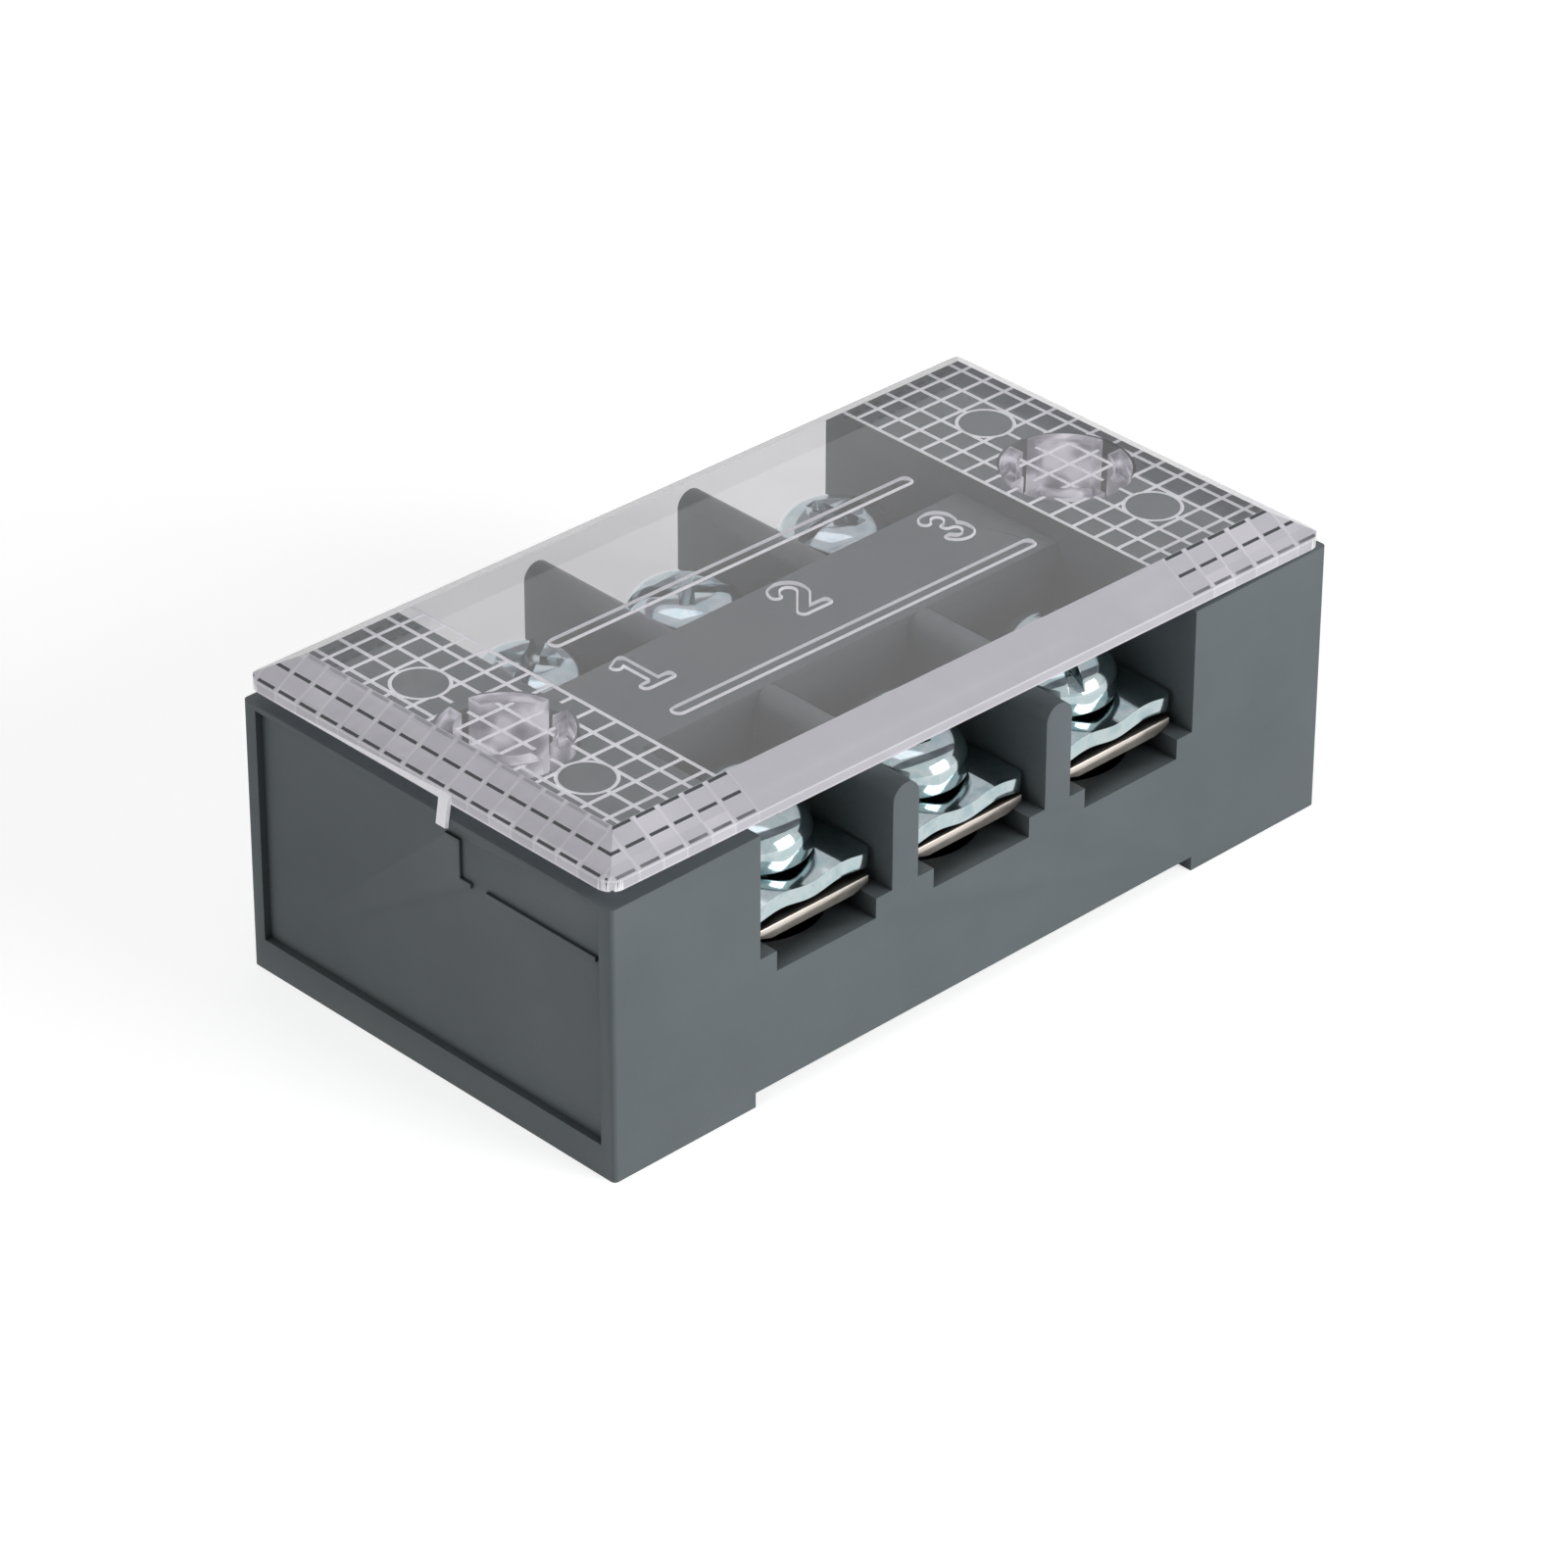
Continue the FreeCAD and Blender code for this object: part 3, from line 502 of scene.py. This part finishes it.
# %% Painted light and shade of the rim
RIM_DASHES = {"X": ((0.15, 1.0), (1.3, 1.0), (2.4, 0.4)), "Y": ((0.15, 0.7), (1.3, 1.0), (2.4, 1.0))}
DASH_HALF_WIDTH = 0.085
DASH_GAP = 0.2
CROSS_LINE = 0.09
CROSS_WEIGHT = -0.45
LIP_LINES = (0.05, 0.63)
LIP_LINE_HALF = 0.07
LIP_BAND = 0.3


def rim_place(finish):
    """Distances on the rim: reach from the middle, inset from each edge, and height up the lip."""
    place = add_node(finish, "ShaderNodeSeparateXYZ", Vector=object_place(finish, (1 / MM, 1 / MM, 1 / MM)))
    reach = {axis: calc(finish, "ABSOLUTE", place.outputs[axis]) for axis in ("X", "Y")}
    inset = {axis: calc(finish, "SUBTRACT", RIM_EDGE[axis], reach[axis]) for axis in ("X", "Y")}
    raised = calc(finish, "MULTIPLY_ADD", place.outputs["X"], math.sin(COVER_TILT), place.outputs["Z"])
    height = calc(finish, "SUBTRACT", raised, COVER_REST + COVER_END_LIFT / 2)
    return place, reach, inset, height


def painted_rim_dashes(finish, reach, inset):
    """Painted shade and light where the grid shows in the rim: dark dashes (1) and faint, bright cross lines
    (-0.45).
    """
    starts = {"X": GRID_INNER, "Y": 0.0}
    total = 0.0
    for along, across in (("X", "Y"), ("Y", "X")):
        on_side = calc(finish, "LESS_THAN", inset[along], inset[across])
        from_start = calc(finish, "SUBTRACT", reach[across], starts[across])
        to_line = calc(finish, "PINGPONG", from_start, GRID_PITCH / 2)
        row = 0.0
        for depth, weight in RIM_DASHES[along]:
            near = calc(finish, "COMPARE", inset[along], depth, DASH_HALF_WIDTH)
            row = calc(finish, "MULTIPLY_ADD", near, weight, row)
        dash = calc(finish, "MULTIPLY", row, calc(finish, "GREATER_THAN", to_line, DASH_GAP))
        cross = calc(finish, "LESS_THAN", to_line, CROSS_LINE)
        marks = calc(finish, "MULTIPLY_ADD", cross, CROSS_WEIGHT, dash)
        total = calc(finish, "ADD", total, calc(finish, "MULTIPLY", marks, on_side))
    return total


def painted_cell_glints(finish, place, reach):
    """A painted glint from 0 to 1 for each cell of the grid, high in a few cells only."""
    from_grid = calc(finish, "SUBTRACT", reach["X"], GRID_INNER)
    column = calc(finish, "FLOOR", calc(finish, "DIVIDE", from_grid, GRID_PITCH))
    row = calc(finish, "FLOOR", calc(finish, "DIVIDE", place.outputs["Y"], GRID_PITCH))
    cell = add_node(finish, "ShaderNodeCombineXYZ", X=column, Y=row)
    luck = add_node(finish, "ShaderNodeTexWhiteNoise", Vector=cell.outputs["Vector"])
    return calc(finish, "POWER", luck.outputs["Value"], 2.0)


def painted_lip_lines(finish, height):
    """Where the two painted bright lines (1) and the painted darker band between them (-0.3) run round the
    lip.
    """
    lines = 0.0
    for level in LIP_LINES:
        lines = calc(finish, "ADD", lines, calc(finish, "COMPARE", height, level, LIP_LINE_HALF))
    low = calc(finish, "LESS_THAN", height, LIP_HEIGHT)
    return calc(finish, "MULTIPLY", low, calc(finish, "MULTIPLY_ADD", lines, 1 + LIP_BAND, -LIP_BAND))


# %% Rim of painted light and shade
RIM_TONE = 0.5
MARKS_WEIGHT = 0.4
GLINT_WEIGHT = -0.75
LIP_WEIGHT = -0.25
MARK_FREE = 0.1
END_RIM_GLOW = 0.1


def painted_rim():
    """The rim's painted light and shade, from bright (0) to dark (1), worked out from the grid and the lip.
    """
    finish, shader = new_finish("painted_rim")
    place, reach, inset, height = rim_place(finish)
    in_grid = calc(finish, "GREATER_THAN", reach["X"], GRID_INNER)
    marks = painted_rim_dashes(finish, reach, inset)
    plain = calc(finish, "LESS_THAN", marks, MARK_FREE)
    glints = calc(finish, "MULTIPLY", painted_cell_glints(finish, place, reach), plain)
    pattern = calc(finish, "MULTIPLY_ADD", glints, GLINT_WEIGHT, marks)
    tone = calc(finish, "MULTIPLY_ADD", calc(finish, "MULTIPLY", pattern, MARKS_WEIGHT), in_grid, RIM_TONE)
    tone = calc(finish, "MULTIPLY_ADD", painted_lip_lines(finish, height), LIP_WEIGHT, tone)
    tone = calc(finish, "ADD", tone, spread(finish, noise(finish, 2.5, detail=3), -0.04, 0.04))
    colour = ramp(finish, tone, [
        (0.0, srgb("f2f0f6")), (0.4, srgb("d6d4dc")), (0.6, srgb("cdcbd3")), (0.85, srgb("3a3e42")),
    ])
    connect(finish, colour, shader.inputs["Base Color"])
    connect(finish, colour, shader.inputs["Emission Color"])
    # The end rims get a little painted glow as well.
    at_end = calc(finish, "LESS_THAN", inset["X"], inset["Y"])
    connect(finish, calc(finish, "MULTIPLY", at_end, END_RIM_GLOW), shader.inputs["Emission Strength"])
    shader.inputs["Transmission Weight"].default_value = 0.08
    shader.inputs["IOR"].default_value = POLYCARBONATE_INDEX
    connect(finish, spread(finish, noise(finish, 0.4), 0.12, 0.22), shader.inputs["Roughness"])
    return finish


COVER_RIM = painted_rim()
print("finish made:", COVER_RIM.name)

# %% [markdown]
# The moulded base
#
# The base keeps its CAD shape exactly, but a moulding never has knife edges. A copy of the CAD node
# is merged into one skin, its flat areas are joined into single faces, and a narrow bevel rounds
# every edge, so the edges catch the light as the real ones do.

# %% Base
MERGE_GAP = 0.002
FLAT_ANGLE = 0.5
BASE_ROUNDING = 0.12


def merged_copy(node, name):
    """A copy of a CAD node as one clean skin, with its flat areas joined into single faces."""
    piece = copy_of(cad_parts[node], name)
    for key in list(piece.keys()):
        del piece[key]
    piece.parent = None
    piece.matrix_world = Matrix.Identity(4)
    work_on(piece)
    edit("VERT")
    bpy.ops.mesh.select_all(action="SELECT")
    bpy.ops.mesh.remove_doubles(threshold=MERGE_GAP * MM)
    bpy.ops.mesh.dissolve_limited(angle_limit=math.radians(FLAT_ANGLE))
    leave_edit()
    bpy.ops.mesh.customdata_custom_splitnormals_clear()
    return piece


base_moulding = merged_copy("base", "base_moulding")
round_edges(base_moulding, BASE_ROUNDING, 2, 35, harden_normals=False)
smooth(base_moulding)
dress(base_moulding, "base", "body", BODY_PLASTIC, "base")

# %% [markdown]
# Contact strips
#
# Each strip is a flat bar whose lower side edges are bevelled, with a collar drawn down under
# each screw. One strip is made from a cube by extruding its lower face inwards, and the collars
# and holes are added with booleans. The three strips are copies of it.

# %% Primitives in millimetres


def rod(name, radius, depth, centre, sides=64):
    """A cylinder along Z, in millimetres."""
    bpy.ops.mesh.primitive_cylinder_add(
        vertices=sides, radius=radius * MM, depth=depth * MM, location=Vector(centre) * MM)
    piece = bpy.context.object
    piece.name = name
    return settle(piece)


def block(name, sizes, centre):
    """A cube of three sizes, in millimetres."""
    bpy.ops.mesh.primitive_cube_add(size=MM, location=Vector(centre) * MM)
    piece = bpy.context.object
    piece.name = name
    piece.scale = sizes
    return settle(piece)


# %% One contact strip
STRIP_WIDTH = 8.6
STRIP_LENGTH = 28.0
STRIP_SIDE = 0.45
STRIP_BEVEL_RISE = 0.4
STRIP_BEVEL_RUN = 1.25
STRIP_ROUNDING = 0.06
COLLAR_RADIUS = 2.8
COLLAR_DEPTH = 1.2
COLLAR_ROOT = 0.4
HOLE_RADIUS = 2.05
SCREW_Y = 9.05


def contact_strip():
    """A contact strip about its own middle, with its lower face at z = 0."""
    top = STRIP_SIDE + STRIP_BEVEL_RISE
    strip = block("contact_strip", (STRIP_WIDTH, STRIP_LENGTH, STRIP_SIDE), (0, 0, top - STRIP_SIDE / 2))
    edit()
    pick_faces(strip, lambda centre, normal: normal.z < -0.9)
    bpy.ops.mesh.extrude_region_move(TRANSFORM_OT_translate={"value": (0, 0, -STRIP_BEVEL_RISE * MM)})
    bpy.ops.transform.resize(value=(1 - 2 * STRIP_BEVEL_RUN / STRIP_WIDTH, 1, 1))
    leave_edit()
    for y in (-SCREW_Y, SCREW_Y):
        middle = (0, y, (COLLAR_ROOT - COLLAR_DEPTH) / 2)
        boolean(strip, rod("collar", COLLAR_RADIUS, COLLAR_DEPTH + COLLAR_ROOT, middle), "UNION")
    for y in (-SCREW_Y, SCREW_Y):
        boolean(strip, rod("hole", HOLE_RADIUS, 6, (0, y, 0)), "DIFFERENCE")
    round_edges(strip, STRIP_ROUNDING, 2, 25)
    return smooth(strip)


strip_pattern = contact_strip()
for pole in POLES:
    node = "contact_strip_%d" % pole
    strip = copy_of(strip_pattern, "plated_strip_%d" % pole)
    strip.location = (node_middle(node).x, 0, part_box(node)[0].z + COLLAR_DEPTH * MM)
    settle(strip)
    dress(strip, "base", "contact", STRIP_PLATING, node)
bpy.data.objects.remove(strip_pattern)

# %% [markdown]
# Clamp plates
#
# The plate under each screw head is a square of thick sheet, waved across its width so that it
# bites into a wire. Its edge line is drawn first by extruding one point along the wave. That line
# is extruded along Y into a sheet and the sheet upwards into a plate, and booleans trim the rounded
# outline and the hole.

# %% Drawing with one point


def single_point(name):
    """A mesh with one vertex at the origin, made by merging a plane's corners, in edit mode."""
    bpy.ops.mesh.primitive_plane_add(size=MM)
    piece = bpy.context.object
    piece.name = name
    edit("VERT")
    bpy.ops.mesh.select_all(action="SELECT")
    bpy.ops.mesh.merge(type="CENTER")
    return piece


def extrude_by(step):
    bpy.ops.mesh.extrude_region_move(TRANSFORM_OT_translate={"value": step})


# %% One clamp plate
CLAMP_SIZE = 9.7
CLAMP_THICKNESS = 0.95
CLAMP_WAVE = 0.3
CLAMP_QUARTER = 1.2
CLAMP_CORNER = 0.9
CLAMP_HOLE = 2.2
CLAMP_ROUNDING = 0.09
CLAMP_TRIM = 0.2
CUTTER_HEIGHT = 4
CUTTER_MIDDLE = (0, 0, 0.6)
WAVE_STEP = 0.1


def wave_height(x):
    """The plate's lower surface across its width, as smooth arcs between trough and crest."""
    return CLAMP_WAVE / 2 * (1 - math.cos(math.pi * x / (2 * CLAMP_QUARTER)))


def clamp_outline():
    """A cutter with the plate's outline and rounded corners."""
    outline = block("outline", (CLAMP_SIZE, CLAMP_SIZE, CUTTER_HEIGHT), CUTTER_MIDDLE)
    edit("EDGE")
    pick_edges(outline, lambda a, b: abs(a.z - b.z) > MM)
    bpy.ops.mesh.bevel(offset=CLAMP_CORNER * MM, segments=10)
    leave_edit()
    return outline


def clamp_plate():
    """A clamp plate about its hole, with the bottom of its wave at z = 0."""
    plate = single_point("clamp_plate")
    half = CLAMP_SIZE / 2 + CLAMP_TRIM
    bpy.ops.transform.translate(value=(-half * MM, -half * MM, wave_height(-half) * MM))
    count = round(2 * half / WAVE_STEP)
    for index in range(count):
        before = -half + 2 * half * index / count
        after = -half + 2 * half * (index + 1) / count
        extrude_by(((after - before) * MM, 0, (wave_height(after) - wave_height(before)) * MM))
    bpy.ops.mesh.select_all(action="SELECT")
    extrude_by((0, 2 * half * MM, 0))
    bpy.ops.mesh.select_all(action="SELECT")
    extrude_by((0, 0, CLAMP_THICKNESS * MM))
    bpy.ops.mesh.select_all(action="SELECT")
    bpy.ops.mesh.normals_make_consistent(inside=False)
    leave_edit()
    boolean(plate, clamp_outline(), "INTERSECT")
    boolean(plate, rod("hole", CLAMP_HOLE, CUTTER_HEIGHT, CUTTER_MIDDLE, sides=96), "DIFFERENCE")
    round_edges(plate, CLAMP_ROUNDING, 3, 50)
    return smooth(plate, 40)


# %% Six clamp plates
clamp_pattern = clamp_plate()
for side, pole in TERMINALS:
    node = "clamp_%s_%d" % (side, pole)
    middle = node_middle(node)
    clamp = copy_of(clamp_pattern, "zinc_" + node)
    clamp.location = (middle.x, middle.y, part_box(node)[0].z)
    settle(clamp)
    dress(clamp, node, "zinc", ZINC, node)
bpy.data.objects.remove(clamp_pattern)

# %% [markdown]
# Terminal screws
#
# The screws are M4 pan heads with a combined slot and cross. The thread is one pitch of its
# profile, wound by the Screw modifier and cut off square at both ends. The head is a cylinder with
# a wide round bevel, and the slot and the tapered cross are cut out of it with booleans.

# %% The thread of a screw
THREAD_PITCH = 0.7
THREAD_RADIUS = 1.99
THREAD_ROOT = 1.6
THREAD_LENGTH = 7.99
THREAD_TOP = 0.31
THREAD_FLAT = 0.09
THREAD_SPARE = 1.5
THREAD_STEPS = 40


def screw_thread():
    """A threaded shank along Z, from z = -THREAD_LENGTH up into the head."""
    thread = single_point("thread")
    turns = math.ceil((THREAD_LENGTH + 2 * THREAD_SPARE) / THREAD_PITCH)
    flank = THREAD_PITCH / 2 - THREAD_FLAT
    bpy.ops.transform.translate(value=(THREAD_ROOT * MM, 0, -(THREAD_LENGTH + THREAD_SPARE) * MM))
    extrude_by((0, 0, THREAD_FLAT * MM))
    extrude_by(((THREAD_RADIUS - THREAD_ROOT) * MM, 0, flank * MM))
    extrude_by((0, 0, THREAD_FLAT * MM))
    extrude_by((-(THREAD_RADIUS - THREAD_ROOT) * MM, 0, flank * MM))
    leave_edit()
    apply_modifier(
        thread, "SCREW", "winding", axis="Z", screw_offset=THREAD_PITCH * MM, iterations=turns,
        steps=THREAD_STEPS, render_steps=THREAD_STEPS, use_merge_vertices=True, merge_threshold=0.001 * MM,
    )
    edit("VERT")
    bpy.ops.mesh.select_all(action="SELECT")
    bpy.ops.mesh.remove_doubles(threshold=0.0005 * MM)
    for height, below in ((-THREAD_LENGTH, True), (THREAD_TOP, False)):
        bpy.ops.mesh.select_all(action="SELECT")
        bpy.ops.mesh.bisect(
            plane_co=(0, 0, height * MM), plane_no=(0, 0, 1), use_fill=True,
            clear_inner=below, clear_outer=not below, threshold=0.0001 * MM)
    bpy.ops.mesh.select_all(action="SELECT")
    bpy.ops.mesh.normals_make_consistent(inside=False)
    leave_edit()
    return thread


thread_pattern = screw_thread()
report(thread_pattern)

# %% The head of a screw
HEAD_RADIUS = 3.5
HEAD_HEIGHT = 2.6
HEAD_ROUNDING = 1.7
HEAD_SEAT_ROUNDING = 0.12
RECESS_ROUNDING = 0.06
SLOT_WIDTH = 0.9
SLOT_DEPTH = 1.1
CROSS_WIDTH = 1.1
CROSS_SPAN = 4.3
CROSS_DEPTH = 1.9
CROSS_TAPER = 0.45
CUTTER_SPARE = 1


def recess_cutter(name, length, width, depth):
    """A block that reaches down into the head by a depth and stands out of its top."""
    height = depth + CUTTER_SPARE
    return block(name, (length, width, height), (0, 0, HEAD_HEIGHT + CUTTER_SPARE - height / 2))


def tapered_wing(turn):
    """A cutter for one bar of the cross, which narrows towards its bottom."""
    wing = recess_cutter("wing", CROSS_SPAN, CROSS_WIDTH, CROSS_DEPTH)
    edit()
    pick_faces(wing, lambda centre, normal: normal.z < -0.9)
    shrink_x = 1 - 4 * CROSS_TAPER / CROSS_SPAN
    shrink_y = 1 - CROSS_TAPER / CROSS_WIDTH
    bpy.ops.transform.resize(value=(shrink_x, shrink_y, 1))
    leave_edit()
    wing.rotation_euler = (0, 0, math.radians(turn))
    return settle(wing)


def screw_head():
    """A pan head on z = 0 with its recess cut in."""
    head = rod("screw", HEAD_RADIUS, HEAD_HEIGHT, (0, 0, HEAD_HEIGHT / 2), sides=96)
    edit("EDGE")
    top = (HEAD_HEIGHT - 0.01) * MM
    rim = (HEAD_RADIUS - 0.1) * MM
    pick_edges(head, lambda a, b: a.z > top and b.z > top and a.xy.length > rim and b.xy.length > rim)
    bpy.ops.mesh.bevel(offset=HEAD_ROUNDING * MM, segments=12, profile=0.5)
    bpy.ops.mesh.select_all(action="DESELECT")
    pick_edges(head, lambda a, b: a.z < 0.01 * MM and b.z < 0.01 * MM)
    bpy.ops.mesh.bevel(offset=HEAD_SEAT_ROUNDING * MM, segments=3, profile=0.5)
    leave_edit()
    boolean(head, recess_cutter("slot", 2 * HEAD_RADIUS + 2, SLOT_WIDTH, SLOT_DEPTH), "DIFFERENCE")
    for turn in (0, 90):
        boolean(head, tapered_wing(turn), "DIFFERENCE")
    return round_edges(head, RECESS_ROUNDING, 2, 40)


screw_pattern = screw_head()
boolean(screw_pattern, thread_pattern, "UNION")
smooth(screw_pattern, 40)
report(screw_pattern)

# %% [markdown]
# Each screw stands at its own angle, as it was left by the screwdriver. Turning a copy of the
# pattern about its own axis before it is put in place keeps its slot where the photograph has it.

# %% Six screws
SLOT_ANGLES = {
    ("front", 1): 20, ("front", 2): -12, ("front", 3): 64,
    ("rear", 1): 35, ("rear", 2): -40, ("rear", 3): 8,
}
for side, pole in TERMINALS:
    node = "screw_%s_%d" % (side, pole)
    middle = node_middle(node)
    screw = copy_of(screw_pattern, "zinc_" + node)
    screw.rotation_euler = (0, 0, math.radians(SLOT_ANGLES[side, pole]))
    screw.location = (middle.x, middle.y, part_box(node)[1].z - HEAD_HEIGHT * MM)
    settle(screw)
    dress(screw, node, "zinc", ZINC, node)
bpy.data.objects.remove(screw_pattern)

# %% [markdown]
# The clear cover
#
# The cover's grooves and posts come from the CAD node, because light bends at every one of their
# faces. A merged copy of the node is sorted into four finishes by where each face lies on the
# cover: below its underside are the posts, just above it the grooves, and over the lip the rim.
#
# The numbers and the frame lines get a narrow chamfer round their mouths. The walls of a straight
# groove would be hidden from above, and the chamfer makes both sides of each line show.

# %% Where a face lies on the cover
HAIR = 0.01
LEVEL = 0.99
GROOVE_TOP = 0.3
MARK_DEPTH = 0.35
MARKS_REACH = (16.0, 7.0)
CLEAR, MARKS, POSTS, RIM = range(4)


def on_cover(point):
    """Where a point lies on the untilted cover, in millimetres from the middle of its underside."""
    half = COVER_LENGTH / 2
    origin = Vector((half * (1 - math.cos(COVER_TILT)), 0, COVER_REST + half * math.sin(COVER_TILT)))
    return Matrix.Rotation(-COVER_TILT, 3, "Y") @ (Vector(point) / MM - origin)


def cover_finish(point, normal):
    """Which of the cover's four finishes a face has. The small tongue at the left end has the grooves'."""
    place = on_cover(point)
    if place.x < -RIM_EDGE["X"] - 2 * HAIR:
        return MARKS
    if place.z < -HAIR:
        return POSTS
    if HAIR < place.z < GROOVE_TOP:
        return MARKS
    if place.z > GROOVE_TOP and abs(normal.z) <= LEVEL:
        return RIM
    return CLEAR


def in_mark(point, normal):
    """Whether a face is the wall or the bottom of a number or a frame line under the cover."""
    place = on_cover(point)
    in_reach = abs(place.x) < MARKS_REACH[0] and abs(place.y) < MARKS_REACH[1]
    return in_reach and HAIR < place.z < MARK_DEPTH + HAIR


# %% Cover
MARK_CHAMFER = 0.12

cover = merged_copy("cover", "clear_cover_plate")
edit("FACE")
print("faces of the numbers and lines:", pick_faces(cover, in_mark))
bpy.ops.mesh.region_to_loop()
bpy.ops.mesh.bevel(offset=MARK_CHAMFER * MM, segments=1)
leave_edit()
cover.data.materials.clear()
for finish in (COVER_CLEAR, COVER_MARKS, COVER_POSTS, COVER_RIM):
    cover.data.materials.append(finish)
counts = [0, 0, 0, 0]
for face in cover.data.polygons:
    face.material_index = cover_finish(face.center, face.normal)
    counts[face.material_index] += 1
print("cover faces that are clear, marks, posts and rim:", counts)
smooth(cover, 20)
dress(cover, "cover", "clear_cover", None, "cover")

# %% [markdown]
# Floor, background and light
#
# The photograph shows the object on plain white. The floor and the background are white for the
# camera, a little less so in reflections and through the cover, and dim as a light, so that the grey
# plastic keeps its own colour. A ray that goes through clear plastic counts as a glossy one too, so
# the levels are chosen in an order: first glossy, then transmission, then camera.
#
# The large lamp stands in front and to the right, because the long front face is the brightest one
# and the left end is darker.

# %% Floor
FLOOR_LEVELS = {"Is Glossy Ray": 0.6, "Is Transmission Ray": 0.33, "Is Camera Ray": 0.7}
FLOOR_SIZE = 6


def seen_level(tree, levels, lowest):
    """How bright a surface is to each kind of ray that is named, or else at the lowest."""
    path = tree.nodes.new("ShaderNodeLightPath")
    level = lowest
    for ray in ("Is Glossy Ray", "Is Transmission Ray", "Is Camera Ray"):
        choice = tree.nodes.new("ShaderNodeMix")
        tree.links.new(path.outputs[ray], choice.inputs["Factor"])
        if isinstance(level, float):
            choice.inputs["A"].default_value = level
        else:
            tree.links.new(level, choice.inputs["A"])
        choice.inputs["B"].default_value = levels[ray]
        level = choice.outputs["Result"]
    return level


def white_floor():
    """A pale matt floor that glows a little for the camera, so that it looks white."""
    finish, shader = new_finish("white_floor")
    cloud = noise(finish, 60, detail=2)
    colour = ramp(finish, cloud, [(0.3, (0.78, 0.78, 0.78)), (0.7, (0.8, 0.8, 0.8))])
    connect(finish, colour, shader.inputs["Base Color"])
    shader.inputs["Roughness"].default_value = 0.9
    shader.inputs["Specular IOR Level"].default_value = 0.0
    shader.inputs["Emission Color"].default_value = (1, 1, 1, 1)
    connect(finish, seen_level(finish.node_tree, FLOOR_LEVELS, 0.0), shader.inputs["Emission Strength"])
    return finish


bpy.ops.mesh.primitive_plane_add(size=FLOOR_SIZE, location=(0, 0, 0))
floor = bpy.context.object
floor.name = "floor"
floor.data.materials.append(white_floor())

# %% World
WORLD_LEVELS = {"Is Glossy Ray": 0.8, "Is Transmission Ray": 0.8, "Is Camera Ray": 1.0}
WORLD_LIGHT = 0.12


def white_world():
    """White for the camera, a little less in reflections and through the cover, dim as a light."""
    world = bpy.data.worlds.new("white_world")
    world.use_nodes = True
    tree = world.node_tree
    tree.nodes.clear()
    output = tree.nodes.new("ShaderNodeOutputWorld")
    background = tree.nodes.new("ShaderNodeBackground")
    background.inputs["Color"].default_value = (1, 1, 1, 1)
    tree.links.new(seen_level(tree, WORLD_LEVELS, WORLD_LIGHT), background.inputs["Strength"])
    tree.links.new(background.outputs["Background"], output.inputs["Surface"])
    return world


bpy.context.scene.world = white_world()

# %% Lamps
LAMP_TARGET = (0, 0, 0.008)


def soft_lamp(name, place, size, power):
    """A square lamp that faces the object: its place and side in metres, its power in watts."""
    bpy.ops.object.light_add(type="AREA", location=place)
    lamp = bpy.context.object
    lamp.name = name
    lamp.data.shape = "SQUARE"
    lamp.data.size = size
    lamp.data.energy = power
    lamp.rotation_euler = (Vector(LAMP_TARGET) - Vector(place)).to_track_quat("-Z", "Y").to_euler()
    return lamp


soft_lamp("front_lamp", (0.3, -0.8, 0.25), 0.5, 5.7)
soft_lamp("top_lamp", (0.0, 0.15, 0.9), 0.6, 1.0)
soft_lamp("left_lamp", (-0.8, -0.1, 0.3), 0.4, 1.4)

# %% [markdown]
# Camera
#
# The camera stands where the photograph was taken from: its angles and distance were solved from
# the block's corners. A long lens keeps the near and far edges almost parallel.

# %% Camera
CAMERA_PLACE = (-0.2367066, -0.2439809, 0.2188134)
CAMERA_RIGHT = (0.719937, -0.694036, 0.002366)
CAMERA_DOWN = (-0.365992, -0.382542, -0.848358)
CAMERA_FORWARD = (0.589696, 0.609898, -0.529418)
LENS = 160.06
SENSOR_WIDTH = 36
CLIP_START = 0.01
CLIP_END = 20

bpy.ops.object.camera_add(location=CAMERA_PLACE)
camera = bpy.context.object
camera.name = "photo_camera"
axes = Matrix((CAMERA_RIGHT, -Vector(CAMERA_DOWN), -Vector(CAMERA_FORWARD))).transposed()
camera.rotation_euler = axes.to_euler()
camera.data.lens = LENS
camera.data.sensor_width = SENSOR_WIDTH
camera.data.clip_start = CLIP_START
camera.data.clip_end = CLIP_END
bpy.context.scene.camera = camera
bpy.context.scene.view_settings.view_transform = "Standard"
